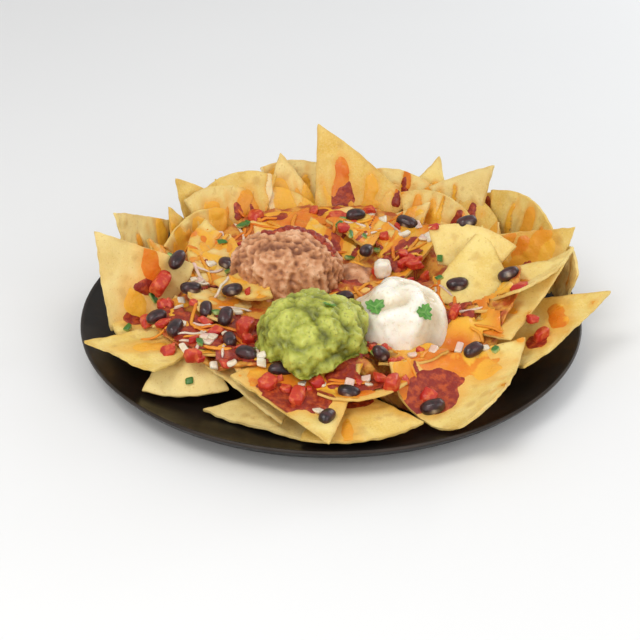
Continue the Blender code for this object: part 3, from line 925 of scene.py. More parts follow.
def make_films(line, ground, bare):
    """Cheese, salsa and a smear of bean paste over the heap, except where bare is above 0."""
    across, along = np.meshgrid(line, line)
    flat = np.stack([across.ravel(), along.ravel(), np.zeros(across.size)], axis=1)

    def field(size, seed):
        return swell(flat, size, seed).reshape(across.shape)

    out = np.hypot(across, along * 1.06)
    edge = smooth_step(out, 96 * MM, 116 * MM)
    low = smooth_step(12 * MM - ground, -6 * MM, 0) + bare
    cheese = 0.9 * field(24 * MM, 1) + 0.5 * field(9 * MM, 2) - 0.02
    cheese += places_mask(across, along, CHEESE_PLACES) - 1.3 * edge - 2 * low
    salsa = 0.8 * field(17 * MM, 5) + 0.4 * field(6 * MM, 6) - 0.12
    salsa += places_mask(across, along, SALSA_PLACES) - 1.1 * edge - 2 * low
    salsa -= 1.5 * np.maximum(cheese, 0)
    paste = places_mask(across, along, ((12, 16, 12, 11, 1.0), (-58, 2, 9, 14, 0.7), (-24, 44, 22, 8, 0.7)))
    paste = 1.1 * paste - 0.45 + 0.5 * field(8 * MM, 9) - low
    pulp = 0.8 * MM * field(3.5 * MM, 12)
    lumps = 1.2 * MM * field(4.5 * MM, 14)
    return {
        "cheese": film_mesh("melted_cheese", line, ground, cheese, 1.5 * MM),
        "salsa": film_mesh("salsa_pools", line, ground, salsa, 1.6 * MM, 24, pulp),
        "paste": film_mesh("bean_paste_smear", line, ground, paste, 3 * MM, 10, lumps),
    }


# Drips on standing chips: azimuth (degrees), from and to height (mm), half width (mm), and how far
# their cheese is from pale (-1) through yellow (0) to orange (1)
CHEESE_DRIPS = (
    (86.5, 31, 55, 6.0, 1.0),
    (77, 29, 47, 5.0, 0.2),
    (71, 30, 40, 3.5, -0.2),
    (68, 42, 52, 2.4, 0.9),
    (51.5, 30, 50, 1.8, 0.2),
    (97, 27, 40, 4.0, 0.0),
    (109.5, 32, 54, 2.0, -1.0),
    (106, 30, 39, 9.0, 0.1),
    (118, 30, 40, 8.0, 0.6),
    (131, 28, 38, 9.0, 0.2),
    (60, 34, 44, 3.0, 0.5),
    (33, 26, 50, 2.0, 0.2),
    (26, 24, 50, 6.0, 0.3),
    (20, 26, 47, 3.0, 0.7),
    (14, 24, 52, 5.0, 0.4),
    (149, 26, 42, 5.0, 0.1),
    (160, 24, 44, 3.0, 0.2),
)
SALSA_DRIPS = (
    (86, 31, 40, 7.5),
    (68, 37, 47, 2.4),
    (44.5, 37, 41, 4.2),
    (122, 35, 38, 3.5),
    (117, 35, 37, 3.5),
    (14, 26, 34, 4.0),
)
# Patches on lying chips: x, y, z (mm), radius along x, y and z (mm), and the same scale for cheese
CHEESE_PATCHES = (
    (62, -76, 28, 26, 8, 12, 1.0),
    (40, -92, 22, 9, 12, 10, 0.8),
    (84, -80, 28, 8, 8, 10, 0.2),
    (8, -127, 20, 3.2, 13, 6, 0.5),
    (-26, -98, 32, 22, 9, 6, 0.9),
    (-4, -104, 30, 9, 6, 6, 0.2),
    (-104, 3, 48, 5.5, 6, 17, 1.2),
    (-113, -9, 27, 6.5, 6, 15, 0.1),
    (78, -46, 40, 18, 12, 12, 1.0),
    (10, -104, 25, 16, 7, 6, 0.9),
    (128, -26, 30, 5, 14, 10, 0.9),
    (113, 30, 42, 6, 7, 16, 0.9),
    (124, 27, 42, 7, 7, 15, 0.0),
    (-34, -96, 32, 8, 14, 6, 0.5),
    (-100, -58, 28, 12, 5, 6, 0.3),
)
SALSA_PATCHES = (
    (51, -94, 22, 18, 15, 12),
    (61, -84, 26, 11, 9, 10),
    (43, -103, 19, 9, 7, 8),
    (-14, -111, 30, 19, 12, 6),
    (-28, -118, 30, 12, 8, 6),
    (-30, -104, 32, 12, 8, 6),
    (-104, -4, 37, 9, 6, 5),
    (-114, -13, 21, 6, 4, 5),
    (12, -98, 23, 14, 7, 6),
    (112, -45, 29, 10, 8, 8),
)


def drip_mask(points, drips, seed):
    """How far each point is inside its nearest drip (above 0) or outside it, and which drip it is."""
    azimuth = np.degrees(np.arctan2(points[:, 1], points[:, 0])) % 360
    out = np.hypot(points[:, 0], points[:, 1])
    sway = 1.6 * MM * swell(points, 12 * MM, seed)
    ragged = 0.35 * swell(points * np.array((1, 1, 0.5)), 5 * MM, seed + 1)
    best = np.full(len(points), -9.0)
    nearest = np.zeros(len(points), int)
    for index, (centre, low, high, half, *_) in enumerate(drips):
        turn = (azimuth - centre + 180) % 360 - 180
        aside = np.abs(np.radians(turn) * out + sway) / (half * MM)
        height = (points[:, 2] / MM - low) / (high - low)
        ends = np.maximum(0, np.maximum(-height, height - 1)) * (high - low) / half
        narrow = 0.75 + 0.5 * np.clip(1 - height, 0, 1)
        inside = 1 - np.hypot(aside / narrow, ends)
        nearest[inside > best] = index
        best = np.maximum(best, inside)
    return np.where(best > -1.5, best + ragged, best), nearest


def patch_mask(points, patches_there, seed):
    """The same for the patches, in centimetres."""
    ragged = 0.34 * swell(points, 8 * MM, seed) + 0.12 * swell(points, 4 * MM, seed + 1)
    best = np.full(len(points), -9.0)
    nearest = np.zeros(len(points), int)
    for index, (x, y, z, wide, deep, tall, *_) in enumerate(patches_there):
        away = (points - np.array((x, y, z)) * MM) / (np.array((wide, deep, tall)) * MM)
        size = min(wide, deep) / 10
        inside = size * (1 - np.linalg.norm(away, axis=1)) + min(size, 1) * ragged
        nearest[inside > best] = index
        best = np.maximum(best, inside)
    return best, nearest


def skin_on(mesh, mask, rise, hue):
    """A skin on a chip's inner side where the mask is above 0: points, faces and the points' hue."""
    inner = marks_of(mesh, "inner") > 0.98
    kept = inner & (mask > -0.3)
    thickness = rise * np.where(mask > 0, 1 - np.exp(-np.maximum(mask, 0) / SKIN_EDGE), np.maximum(mask / SKIN_EDGE, -0.8))
    points = points_of(mesh) + normals_of(mesh) * thickness[:, None]
    faces = [tuple(face.vertices) for face in mesh.polygons if all(kept[i] for i in face.vertices)]
    if not faces:
        return None
    used, flat = np.unique(np.array(faces), return_inverse=True)
    return points[used], flat.reshape(-1, 4).tolist(), hue[used]


def add_oil(mesh, mask):
    """Stains a chip round what has melted on it."""
    oil = marks_of(mesh, "oil")
    inner = marks_of(mesh, "inner")
    mark(mesh, "oil", np.maximum(oil, 0.6 * smooth_step(mask, -0.8, 0.1) * inner))


def make_drips(chips, clean):
    """Melted cheese and salsa on the inner sides of the chips. The clean ones have only the patches."""
    cheese, salsa = [], []
    drip_hues = np.array([drip[-1] for drip in CHEESE_DRIPS])
    patch_hues = np.array([patch[-1] for patch in CHEESE_PATCHES])
    for mesh in chips:
        points = points_of(mesh)
        wander = 0.35 * swell(points, 16 * MM, 21)
        stretched = points * np.array((1, 1, 0.3))
        foot = 0.75 - (points[:, 2] - 26 * MM) / (20 * MM)
        spread = 1.3 * swell(stretched, 6 * MM, 31) + np.clip(foot, -3, 0.1) - 0.1
        outward = smooth_step(np.hypot(points[:, 0], points[:, 1]), 100 * MM, 118 * MM)
        spread -= 0.6 * outward + 1.2 * (1 - smooth_step(points[:, 2], 24 * MM, 31 * MM)) + 2 * (mesh in clean)
        drip, which = drip_mask(points, CHEESE_DRIPS, 3)
        drip -= 9 * (mesh in clean)
        patch, kind = patch_mask(points, CHEESE_PATCHES, 5)
        masks = np.stack([spread, drip, patch])
        hues = np.stack([0.35 + 2 * wander, drip_hues[which], patch_hues[kind]])
        cheese_mask = np.minimum(masks.max(0), 0.5)
        hue = np.take_along_axis(hues, masks.argmax(0)[None], 0)[0] + wander
        salsa_drip = drip_mask(points, SALSA_DRIPS, 8)[0] - 9 * (mesh in clean)
        salsa_mask = np.maximum(salsa_drip, patch_mask(points, SALSA_PATCHES, 9)[0])
        for forms, mask, rise in ((cheese, cheese_mask, 0.7 * MM), (salsa, salsa_mask, 0.7 * MM)):
            form = skin_on(mesh, mask, rise, hue)
            if form:
                forms.append(form)
        add_oil(mesh, np.maximum(cheese_mask, salsa_mask))
    made = []
    for name, forms in (("cheese_on_chips", cheese), ("salsa_on_chips", salsa)):
        mesh = joined(name, [form[:2] for form in forms])
        mark(mesh, "hue", np.concatenate([form[2] for form in forms]))
        made.append(mesh)
    return made


# ---------------------------------------------------------------- the three mounds


def ridge_mark(mesh, relief):
    """Marks hollows with 0 and ridges with 1, for the painted shade in the hollows and the painted highlight on the
    ridges.
    """
    low, high = np.percentile(relief, (4, 96))
    mark(mesh, "ridge", np.clip((relief - low) / (high - low), 0, 1))


def mound(name, levels=3, sink=6 * MM):
    """A CAD mound, smoothed, with its lower edge let down into the heap."""
    mesh = subdivided(node_cage(name), levels)
    low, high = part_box(name)
    points = points_of(mesh)
    share = 1 - smooth_step(points[:, 2], low.z + 3 * MM, low.z + (high.z - low.z) * 0.45)
    points[:, 2] -= sink * share
    move_points(mesh, points)
    return mesh, np.array((low + high) / 2)


PASTE_FLATTENING = 0.07
# The line that salsa runs along over the bean paste: x and y in mm
SALSA_CREST = ((-37, 17), (-27, 19), (-15, 18), (-4, 13), (4, 5), (9, -4))


def make_bean_paste():
    """Refried beans: torn, fluffy paste with deep folds, and salsa along its crest."""
    mesh, middle = mound("refried_beans")
    points = points_of(mesh)
    swirled = points + 4 * MM * np.stack([swell(points, 16 * MM, k) for k in (1, 2, 3)], axis=1)
    folds = np.abs(swell(swirled * np.array((1.6, 0.9, 0.8)), 15 * MM, 4))
    torn = 0.55 - cells(swirled * np.array((1.5, 1, 0.8)), 8 * MM, 2)
    relief = 1.2 * torn - 1.3 * (0.25 - folds) + 1.2 * swell(points, 2.8 * MM, 5)
    points += normals_of(mesh) * (relief * 1.8 * MM - 0.8 * MM)[:, None]
    points[:, 2] -= PASTE_FLATTENING * (points[:, 2] - points[:, 2].min())
    move_points(mesh, points)
    # painted shade in the paste's folds, painted highlight on its torn crests
    ridge_mark(mesh, relief + 0.6 * swell(points, 9 * MM, 9))
    add_piece("bean_paste_mound", mesh, PASTE, "refried_beans", "refried_beans")
    mark(mesh, "inner", np.ones(len(points)))
    points = points_of(mesh)
    line = np.array(SALSA_CREST) * MM
    away = nearest_gap(points[:, :2], np.vstack([np.linspace(a, b, 12) for a, b in zip(line, line[1:])]))
    mask = 1 - away / (3.8 * MM) + 0.9 * swell(points, 6 * MM, 7)
    mask -= 2 * (points[:, 2] < middle[2])
    points, faces, _ = skin_on(mesh, mask, 1.3 * MM, mask)
    return mesh, mesh_from("salsa_on_bean_paste", points, faces)


def make_guacamole():
    """Guacamole: mashed avocado in round lumps, with a lobe that has slid to the front."""
    mesh, middle = mound("guacamole")
    points = points_of(mesh)
    low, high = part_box("guacamole")
    lobe = dome(gaps(points * (1, 1, 0.4), (middle[0] - 6 * MM, low.y + 3 * MM, low.z * 0.4)), 11 * MM)
    points[:, 1] -= 9 * MM * lobe
    points[:, 2] -= 2 * MM * lobe
    warped = points + 2.5 * MM * np.stack([swell(points, 11 * MM, k) for k in (6, 7, 8)], axis=1)
    big, small = cells(warped, 12 * MM, 1), cells(warped, 6 * MM, 2)
    relief = 1.9 * (0.5 - big) + 0.9 * (0.5 - small) + 0.5 * swell(points, 2.6 * MM, 5)
    move_points(mesh, points + normals_of(mesh) * (relief * 2.3 * MM - 0.8 * MM)[:, None])
    # painted shade between the lumps, painted highlight on them
    ridge_mark(mesh, relief + 0.8 * swell(points, 10 * MM, 3))
    add_piece("guacamole_mound", mesh, AVOCADO, "guacamole", "guacamole")
    return mesh


def make_cream():
    """Sour cream: a dollop with the spoon's soft folds turning round its top."""
    mesh, middle = mound("sour_cream")
    points = points_of(mesh)
    low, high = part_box("sour_cream")
    x, y = points[:, 0] - middle[0] - 2 * MM, points[:, 1] - middle[1] + 2 * MM
    out = np.hypot(x, y) / (high.x - middle[0])
    turn = np.arctan2(y, x)
    swirl = np.sin(2 * turn + 7.5 * out + 1.5 * swell(points, 18 * MM, 2))
    fold = np.sign(swirl) * np.abs(swirl) ** 0.7
    relief = fold * smooth_step(out, 0.05, 0.35) * (1 - 0.5 * smooth_step(out, 0.7, 1.1))
    relief += 0.8 * swell(points, 10 * MM, 4) + 0.25 * swell(points, 4 * MM, 6)
    move_points(mesh, points + normals_of(mesh) * (relief * 1.7 * MM)[:, None])
    # painted shade in the folds, painted highlight on their crests
    ridge_mark(mesh, relief)
    add_piece("sour_cream_mound", mesh, CREAM, "sour_cream", "sour_cream")
    return mesh


# ---------------------------------------------------------------- small things


def block(cuts):
    """The surface of a 2 x 2 x 2 cube as points and faces, each side cut into a grid."""
    bm = bmesh.new()
    bmesh.ops.create_cube(bm, size=2)
    bmesh.ops.subdivide_edges(bm, edges=bm.edges, cuts=cuts, use_grid_fill=True)
    bm.verts.ensure_lookup_table()
    points = np.array([tuple(vert.co) for vert in bm.verts])
    faces = [[vert.index for vert in face.verts] for face in bm.faces]
    bm.free()
    return points, faces


FINE_BLOCK = block(7)
BLOCK = block(3)


def rounded(points, power):
    """A cube's points moved onto a ball (power 2) or a softer cube (higher powers)."""
    ways = points / np.linalg.norm(points, axis=1, keepdims=True)
    return ways / (np.abs(ways) ** power).sum(axis=1, keepdims=True) ** (1 / power)


def chunk(size, seed, form=BLOCK, power=5.0, uneven=0.2):
    """A cut piece of something: a soft-edged block, each one sheared and tapered its own way."""
    rng = random.Random(seed)
    points = rounded(form[0], power)
    shear = np.array([[rng.uniform(-uneven, uneven) for _ in range(3)] for _ in range(3)])
    points = points @ (np.eye(3) + shear)
    points *= 1 + uneven * points[:, [1, 2, 0]] * rng.uniform(-1, 1)
    return points * np.array(size) / 2, form[1]


def frame_of(normal, turn):
    """A turned frame whose Z is the normal, as a 3 x 3 array of columns."""
    lying = Vector((0, 0, 1)).rotation_difference(normal).to_matrix()
    return np.array(lying @ Matrix.Rotation(turn, 3, "Z"))


def settle(points, tree, sink):
    """Lets points down, or lifts them, until the lowest is this deep in what is below."""
    gap = math.inf
    for x, y, z in points[:: max(1, len(points) // 60)]:
        hit = tree.ray_cast(Vector((x, y, HIGH)), DOWN)[0]
        if hit:
            gap = min(gap, z - hit.z)
    if gap < math.inf:
        points[:, 2] -= gap + sink
    return points


def node_pose(name):
    """The middle of a CAD node and its own axes, longest first, as columns."""
    points = points_of(NODES[name].data)
    middle = (points.min(0) + points.max(0)) / 2
    _, _, axes = np.linalg.svd(points - points.mean(0), full_matrices=False)
    if np.linalg.det(axes) < 0:
        axes[2] = -axes[2]
    if axes[2][2] < 0:
        axes[1:] = -axes[1:]
    return middle, axes.T


def bean_form(seed):
    """A black bean lying along X, hollowed on one side, with its eye in the hollow."""
    rng = random.Random(seed)
    points = rounded(FINE_BLOCK[0], 2.2)
    along = points[:, 0]
    eye = np.exp(-((along / 0.22) ** 2)) * smooth_step(points[:, 1], 0.93, 0.99)
    dent = 0.16 * np.exp(-((along / 0.5) ** 2)) * smooth_step(points[:, 1], 0.1, 1)
    points[:, 1] -= dent + 0.22 * along**2 - 0.1
    size = np.array((6.6, 4.3, 3.9)) * rng.uniform(0.9, 1.06) * MM
    wrinkle = 1 + 0.035 * swell(points, 0.5, seed)
    return points * size * wrinkle[:, None], FINE_BLOCK[1], eye


def dice_form(seed, size=(10.5, 9, 7.5)):
    """A piece of diced tomato; its underside or one side keeps the skin."""
    rng = random.Random(seed)
    points, faces = chunk(np.array(size) * MM * rng.uniform(0.8, 1.08), seed, FINE_BLOCK, 4.2, 0.26)
    unit = FINE_BLOCK[0]
    skin = smooth_step(unit[:, rng.randrange(2)] * rng.choice((-1, 1)), 0.7, 0.95)
    points = points * (1 + 0.16 * swell(unit, 0.9, seed) + 0.05 * swell(unit, 0.35, seed))[:, None]
    return points, faces, skin


DOLLOP_PLACE, DOLLOP_SIZE = (30, 15), (5.2, 5, 6.2)  # x and y, and half its size each way (mm)


def make_cream_dollop(tree):
    """A small dollop of sour cream behind the large one."""
    points = rounded(FINE_BLOCK[0], 2.2) * np.array(DOLLOP_SIZE) * MM
    points *= (1 + 0.25 * swell(FINE_BLOCK[0], 0.9, 31))[:, None]
    points += np.array((*DOLLOP_PLACE, 50)) * MM
    mesh = mesh_from("sour_cream_dollop", settle(points, tree, 2 * MM), FINE_BLOCK[1])
    # the mound colours, painted shade to painted highlight, laid in random patches
    ridge_mark(mesh, swell(points_of(mesh), 5 * MM, 8))
    add_piece("sour_cream_dollop", mesh, CREAM, "sour_cream")


TOPPING_DROP, TOPPING_LIFT = 13 * MM, 4 * MM  # how far one may be let down or lifted onto the heap
TOPPING_NUDGES = {"black_bean_02": (5, -7, 0), "tomato_01": (4, 3, 0)}  # off an edge, x, y and z in mm


def make_node_toppings(tree):
    """The beans and the diced tomato that the model has, each in its own node's place."""
    for kinds in ((BEAN_NODES, bean_form, "bean", BEAN_SKIN, "black_bean", "eye"),
                  (TOMATO_NODES, dice_form, "tomato_dice", TOMATO, "tomato", "skin")):
        nodes, form, prefix, material, slot, name = kinds
        for seed, node in enumerate(nodes, 1):
            points, faces, values = form(seed)
            middle, axes = node_pose(node)
            points = points @ axes.T + middle + np.array(TOPPING_NUDGES.get(node, (0, 0, 0))) * MM
            settled = settle(points.copy(), tree, 2.3 * MM)
            points[:, 2] += np.clip(settled[0, 2] - points[0, 2], -TOPPING_DROP, TOPPING_LIFT)
            mesh = mesh_from(f"{prefix}_{seed:02d}", points, faces)
            mark(mesh, name, values)
            add_piece(f"{prefix}_{seed:02d}", mesh, material, slot, node)


def mounds_clear(x, y, margin=2 * MM):
    """Whether a place is beside the three mounds and the bare place."""
    bare_x, bare_y, wide, deep = (value * MM for value in BARE_PLACE)
    if ((x - bare_x) / wide) ** 2 + ((y - bare_y) / deep) ** 2 < 1:
        return False
    for name in ("refried_beans", "guacamole", "sour_cream"):
        low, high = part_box(name)
        middle, half = (low + high) / 2, (high - low) / 2
        if ((x - middle.x) / (half.x + margin)) ** 2 + ((y - middle.y) / (half.y + margin)) ** 2 < 1:
            return False
    return True


def heap_places(count, seed, reach=104 * MM, clear=True):
    """Places over the heap, in millimetres, the same each run."""
    rng = random.Random(seed)
    places = []
    while len(places) < count:
        turn, out = rng.uniform(0, 2 * math.pi), reach * math.sqrt(rng.random())
        x, y = out * math.cos(turn), out * math.sin(turn) * 0.92
        if not clear or mounds_clear(x, y):
            places.append((x / MM, y / MM))
    return places


def lay(points, x, y, tree, rng, sink, tip=0.5):
    """Lays a form on what is below a place, on its slope, turned and tipped at random."""
    hit, normal, _, _ = tree.ray_cast(Vector((x * MM, y * MM, HIGH)), DOWN)
    if hit is None or hit.z < WELL_FLOOR + 8 * MM:
        return None
    if normal.z < 0:
        normal = -normal
    normal = (normal + Vector((rng.uniform(-tip, tip), rng.uniform(-tip, tip), 0.6))).normalized()
    turned = points @ frame_of(normal, rng.uniform(0, 2 * math.pi)).T
    turned += np.array((x * MM, y * MM, hit.z + 20 * MM))
    return settle(turned, tree, sink)


def scattered(name, places, make_form, tree, seed, sink, marked=None):
    """One mesh with a form at each place. make_form gives points, faces and the marked values."""
    rng = random.Random(seed)
    forms, values = [], []
    for index, (x, y) in enumerate(places):
        points, faces, marks = make_form(seed + index, rng)
        points = lay(points, x, y, tree, rng, sink)
        if points is None:
            continue
        forms.append((points, faces))
        values.append(marks)
    mesh = joined(name, forms)
    if marked:
        mark(mesh, marked, np.concatenate(values))
    return mesh


def small_dice(seed, rng):
    size = rng.uniform(4.5, 8)
    return dice_form(seed, (size, size * rng.uniform(0.7, 1), size * rng.uniform(0.5, 0.8)))


def small_bean(seed, rng):
    return bean_form(seed)


def onion_chip(seed, rng):
    """A square of onion: a thin bent layer."""
    size = (rng.uniform(4, 7.5) * MM, rng.uniform(3.5, 6) * MM, rng.uniform(1.4, 2.4) * MM)
    points, faces = chunk(size, seed, BLOCK, 7, 0.15)
    points[:, 2] += 0.09 / MM * points[:, 0] ** 2 * rng.uniform(0.2, 1)
    skin = smooth_step(BLOCK[0][:, 2], 0.9, 1) * rng.choice((0, 0, 0.8))
    return points, faces, skin


def pepper_bit(seed, rng):
    """A bit of green pepper with the skin on one side."""
    size = (rng.uniform(3.5, 6) * MM, rng.uniform(2.5, 4) * MM, rng.uniform(1.6, 2.6) * MM)
    points, faces = chunk(size, seed, BLOCK, 6, 0.2)
    return points, faces, smooth_step(BLOCK[0][:, 2], 0.2, 0.9)


def strip_form(line, width, thickness, sides=6):
    """A strip along a line of points, flat against what it lies on, closed at both ends."""
    line = np.asarray(line)
    ways = np.gradient(line, axis=0)
    ways /= np.linalg.norm(ways, axis=1, keepdims=True)
    aside = np.cross(ways, (0, 0, 1.0))
    aside /= np.linalg.norm(aside, axis=1, keepdims=True) + 1e-9
    up = np.cross(aside, ways)
    turns = 2 * math.pi * np.arange(sides) / sides
    count = len(line)
    ends = np.sqrt(np.clip(1 - np.abs(np.linspace(-1, 1, count)) ** 8, 0.15, 1))
    rings = [
        line[i]
        + ends[i] * (width / 2 * np.cos(turns)[:, None] * aside[i] + thickness / 2 * np.sin(turns)[:, None] * up[i])
        for i in range(count)
    ]
    faces = [
        [i * sides + j, i * sides + (j + 1) % sides, (i + 1) * sides + (j + 1) % sides, (i + 1) * sides + j]
        for i in range(count - 1)
        for j in range(sides)
    ]
    faces.append(list(range(sides))[::-1])
    faces.append([(count - 1) * sides + j for j in range(sides)])
    return np.vstack(rings), faces


def shred_line(x, y, heading, length, bend, tree, thickness, steps=14):
    """A bent line over what is below it, starting at a place (mm), bridging the hollows."""
    points = []
    step = length * MM / steps
    x, y = x * MM, y * MM
    for _ in range(steps + 1):
        hit = tree.ray_cast(Vector((x, y, HIGH)), DOWN)[0]
        points.append((x, y, hit.z if hit else WELL_FLOOR))
        x, y = x + step * math.cos(heading), y + step * math.sin(heading)
        heading += bend / steps
    line = np.array(points)
    for _ in range(8):
        middle = (line[:-2, 2] + line[2:, 2]) / 2
        line[1:-1, 2] = np.maximum(line[1:-1, 2], middle - 0.05 * MM)
    line[:, 2] = np.minimum(line[:, 2], line[:, 2].min() + 12 * MM)
    line[:, 2] += thickness * 0.3
    return line


def shreds(name, places, tree, seed, lengths, width, thickness, seen=()):
    """Many thin strips over what is below, as one mesh: those seen, then one from each place."""
    rng = random.Random(seed)
    forms = []
    starts = [(x, y, math.radians(heading), length, bend) for x, y, heading, length, bend in seen]
    for x, y in places:
        starts.append((x, y, rng.uniform(0, 2 * math.pi), rng.uniform(*lengths), rng.uniform(-0.9, 0.9)))
    for start in starts:
        line = shred_line(*start, tree, thickness)
        drop = np.abs(np.diff(line[:, 2])).max()
        if line[:, 2].max() > 58 * MM or line[:, 2].min() < 20 * MM or drop > 2.5 * MM:
            continue
        forms.append(strip_form(line, width * rng.uniform(0.75, 1.25), thickness * rng.uniform(0.8, 1.2)))
    return joined(name, forms)


def leaf_form(size, seed):
    """A coriander leaflet: three toothed lobes, cupped, with veins marked."""
    rng = random.Random(seed)
    steps, rings = 60, 5
    points, faces, vein = [], [], []
    for side in (1, -1):
        for ring in range(rings + 1):
            share = ring / rings
            for step in range(steps):
                turn = 2 * math.pi * step / steps
                lobes = 0.62 + 0.30 * abs(math.cos(1.5 * turn)) + 0.09 * math.cos(9 * turn)
                out = size * share * lobes
                x, y = out * math.cos(turn), out * math.sin(turn)
                lift = 0.22 * out**2 / size + 0.06 * size * math.sin(3 * turn + seed) * share
                points.append((x, y, lift + side * 0.22 * MM * (1 - share**4)))
                vein.append(max(0, 1 - abs(math.sin(1.5 * turn)) * 9 * share) * (1 - share * 0.5))
    layer = (rings + 1) * steps
    for side in (0, 1):
        for ring in range(rings):
            for step in range(steps):
                a = side * layer + ring * steps + step
                b = side * layer + ring * steps + (step + 1) % steps
                quad = [a, b, b + steps, a + steps]
                faces.append(quad if side else quad[::-1])
    return np.array(points), faces, np.array(vein) * rng.uniform(0.7, 1)


def leaf_bit(seed, rng):
    return leaf_form(rng.uniform(4, 7) * MM, seed)


# Strips of onion: x and y of one end (mm), heading (degrees), length (mm), bend (radians)
ONION_STRIPS = (
    (-54, -14, -4, 24, 0.2),
    (-106, -30, -6, 20, -0.3),
    (-66, -46, -92, 30, 0.3),
    (-72, -50, -88, 24, -0.3),
    (-86, -55, -8, 20, 0.7),
    (-84, -62, 4, 18, -0.5),
    (-58, -60, -100, 18, 0.2),
    (-78, -44, -20, 16, 0.4),
    (20, 84, 70, 12, 0.3),
)
CHEDDAR_STRIPS = (
    (-4, -99, 0, 26, 0.4),
    (-2, -96, -8, 22, 0.5),
    (44, 30, -80, 14, 0.2),
    (56, 28, -100, 14, -0.2),
    (-98, 14, 40, 22, -0.3),
)
# Where some of the small things lie, as x, y in mm
ONION_SEEN = ((-77, 3), (-38, -88), (-7, -121), (-5, -98), (-84, -45), (-70, -60), (70, -66), (84, -64), (-42, -80), (-38, -84), (24, 84), (44, -74), (-16, -99), (9, -99), (20, -97), (-64, -82), (-68, -64), (-58, -56), (-80, -72), (-54, -86))
PEPPER_SEEN = ((-102, -6), (-78, -80), (5, 54), (74, 70), (90, -66), (-92, 8), (12, 44), (-116, -24), (62, 64), (-60, 14))
SALSA_CHUNKS = ((40, -92), (52, -98), (32, -100), (-24, -106), (-12, -103), (50, 22), (-92, -20), (-94, -44), (-46, -60), (106, -30), (72, -28), (60, -36), (28, 98), (-46, 84), (19, -64), (23, -72), (112, -44), (38, -78), (33, -82), (60, -27), (-28, -98), (-8, -98), (14, -96), (26, -94), (-58, -84), (-72, -78), (46, 24), (55, 15), (60, 25), (-76, -62), (-64, -54), (-70, -44), (-50, -70))
BEANS_SEEN = ((-28, -90), (-60, 20))
LEAVES_ON_HEAP = ((78, 60),)
LEAVES_ON_CREAM = ((24, -52), (51, -56))
LEAVES_ON_GUACAMOLE = ((-1, -74),)


def make_small_things(tree, mounds_tree):
    """Everything that is loose on the heap and smaller than a bean, or is a further bean."""
    beans = scattered("further_beans", list(BEANS_SEEN) + heap_places(5, 41, 96 * MM), small_bean, tree, 300, 3 * MM, "eye")
    add_piece("further_beans", beans, BEAN_SKIN, "black_bean")
    places = list(SALSA_CHUNKS) + heap_places(26, 42, 100 * MM)
    dice = scattered("further_tomato", places, small_dice, tree, 400, 1.8 * MM, "skin")
    add_piece("further_tomato", dice, TOMATO, "tomato")
    places = list(ONION_SEEN) + heap_places(26, 43, 104 * MM)
    onion = scattered("onion_dice", places, onion_chip, tree, 500, 0.8 * MM, "skin")
    add_piece("onion_dice", onion, ONION, "onion")
    places = list(PEPPER_SEEN) + heap_places(22, 44, 104 * MM)
    pepper = scattered("pepper_bits", places, pepper_bit, tree, 600, 0.6 * MM, "skin")
    add_piece("pepper_bits", pepper, PEPPER, "greens")
    cheddar = shreds("cheddar_shreds", heap_places(84, 46, 100 * MM), tree, 46, (9, 24), 2.3 * MM, 1.4 * MM,
                     CHEDDAR_STRIPS)
    mark(cheddar, "hue", 0.7 + swell(points_of(cheddar), 20 * MM, 2))
    add_piece("cheddar_shreds", cheddar, CHEESE, "cheese")
    pale = shreds("onion_strips", heap_places(16, 51, 88 * MM), tree, 47, (12, 26), 2.0 * MM, 1.2 * MM, ONION_STRIPS)
    mark(pale, "skin", 0.5 + 0.7 * swell(points_of(pale), 12 * MM, 3))
    add_piece("onion_strips", pale, ONION, "onion")
    places = LEAVES_ON_CREAM + LEAVES_ON_GUACAMOLE + LEAVES_ON_HEAP
    leaves = scattered("coriander_leaves", places, leaf_bit, mounds_tree, 800, 0.2 * MM, "vein")
    add_piece("coriander_leaves", leaves, LEAF, "greens")


# ---------------------------------------------------------------- floor, light, camera


def look_at(thing, target):
    way = Vector(target) - thing.location
    thing.rotation_euler = way.to_track_quat("-Z", "Y").to_euler()


def add_light(name, place, target, size, power, colour=(1, 1, 1)):
    light = bpy.data.objects.new(name, bpy.data.lights.new(name, "AREA"))
    bpy.context.scene.collection.objects.link(light)
    light.data.shape = "DISK"
    light.data.size = size
    light.data.energy = power
    light.data.color = colour
    light.location = place
    look_at(light, target)


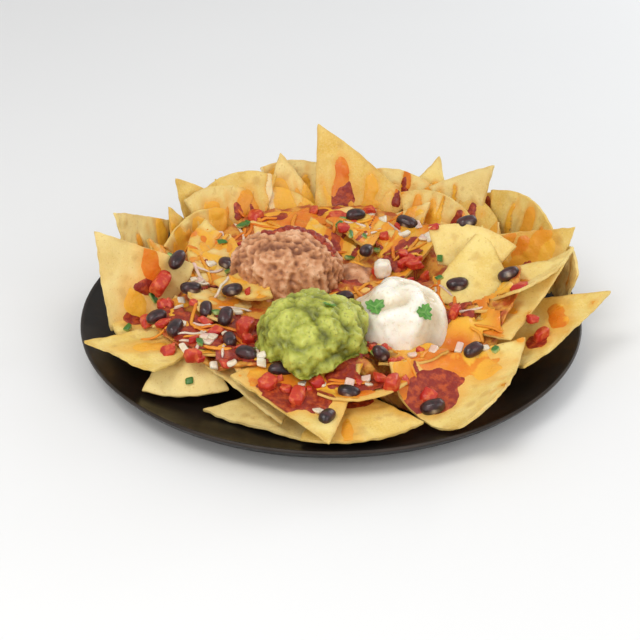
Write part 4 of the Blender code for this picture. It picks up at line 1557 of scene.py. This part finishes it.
def make_stage():
    """A plain pale floor, soft studio light, and the camera in front of the plate."""
    scene = bpy.context.scene
    floor = bpy.data.objects.new("floor", bpy.data.meshes.new("floor"))
    scene.collection.objects.link(floor)
    bm = bmesh.new()
    bmesh.ops.create_grid(bm, x_segments=1, y_segments=1, size=4)
    bm.to_mesh(floor.data)
    bm.free()
    material, tree, shader = new_material("pale_floor", 0.7)
    colour = blend(tree, patches(tree, 0.4, 0.5, 0.4), (0.86, 0.86, 0.86), (0.84, 0.84, 0.84))
    link(tree, shader, Base_Color=colour)
    floor.data.materials.append(material)
    world = bpy.data.worlds.new("studio")
    world.use_nodes = True
    world.node_tree.nodes["Background"].inputs["Color"].default_value = (1, 1, 1, 1)
    world.node_tree.nodes["Background"].inputs["Strength"].default_value = 0.6
    scene.world = world
    add_light("key", (-0.4, -0.45, 1.0), (0, 0, 0.03), 0.5, 4.0, (1, 0.985, 0.955))
    add_light("fill", (0.7, -0.6, 0.6), (0, 0, 0.03), 0.8, 2.6)
    add_light("front", (-0.45, -1.0, 0.5), (0, 0, 0.03), 0.8, 2.8, (1, 0.985, 0.96))
    add_light("rim_light", (0.75, 0.75, 0.45), (0.05, 0, 0.02), 0.6, 3, (0.9, 0.95, 1))
    camera = bpy.data.objects.new("camera", bpy.data.cameras.new("camera"))
    scene.collection.objects.link(camera)
    aim = Vector((-6.4, 0, 12.6)) * MM
    elevation = math.radians(30.42)
    camera.location = aim + 1.2 * Vector((0, -math.cos(elevation), math.sin(elevation)))
    look_at(camera, aim)
    camera.data.sensor_width = 36
    camera.data.lens = 115.9
    scene.camera = camera
    scene.view_settings.view_transform = "Standard"


def main():
    make_plate()
    chips = make_chips()
    further = make_further_chips(tree_of(chips.values()))
    core = make_core()
    grounds = [core, *chips.values(), *further]
    clean = [*(chips[name] for name in CLEAN_CHIPS), further[-1]]
    line, ground, owner = height_grid(grounds)
    bare = 0.2 * (owner > 0) + 1.5 * np.isin(owner, [grounds.index(mesh) for mesh in clean])
    films = make_films(line, ground, bare)
    cheese_skin, salsa_skin = make_drips([*chips.values(), *further], clean)
    for name, mesh in chips.items():
        add_piece(f"crisp_{name[5:]}", mesh, MAIZE, "chip", name)
    for index, mesh in enumerate(further, 1):
        add_piece(f"crisp_in_heap_{index:02d}", mesh, MAIZE, "chip")
    add_piece("filling_core", core, CORE, "heap", "nacho_heap")
    mark(films["cheese"], "hue", 0.45 + 1.6 * swell(points_of(films["cheese"]), 22 * MM, 13))
    add_piece("melted_cheese", films["cheese"], CHEESE, "cheese")
    add_piece("salsa_pools", films["salsa"], SALSA, "salsa")
    # the mound colours, painted shade to painted highlight, laid in random patches
    ridge_mark(films["paste"], swell(points_of(films["paste"]), 5 * MM, 4))
    add_piece("bean_paste_smear", films["paste"], PASTE, "refried_beans")
    add_piece("cheese_on_chips", cheese_skin, CHEESE, "cheese")
    add_piece("salsa_on_chips", salsa_skin, SALSA, "salsa")
    paste, crest = make_bean_paste()
    add_piece("salsa_on_bean_paste", crest, SALSA, "salsa")
    beds = [*grounds, *films.values()]
    bed_tree = tree_of(beds)
    mounds_tree = tree_of([*beds, paste, make_guacamole(), make_cream()])
    make_cream_dollop(bed_tree)
    make_node_toppings(bed_tree)
    make_small_things(bed_tree, mounds_tree)
    make_stage()


main()
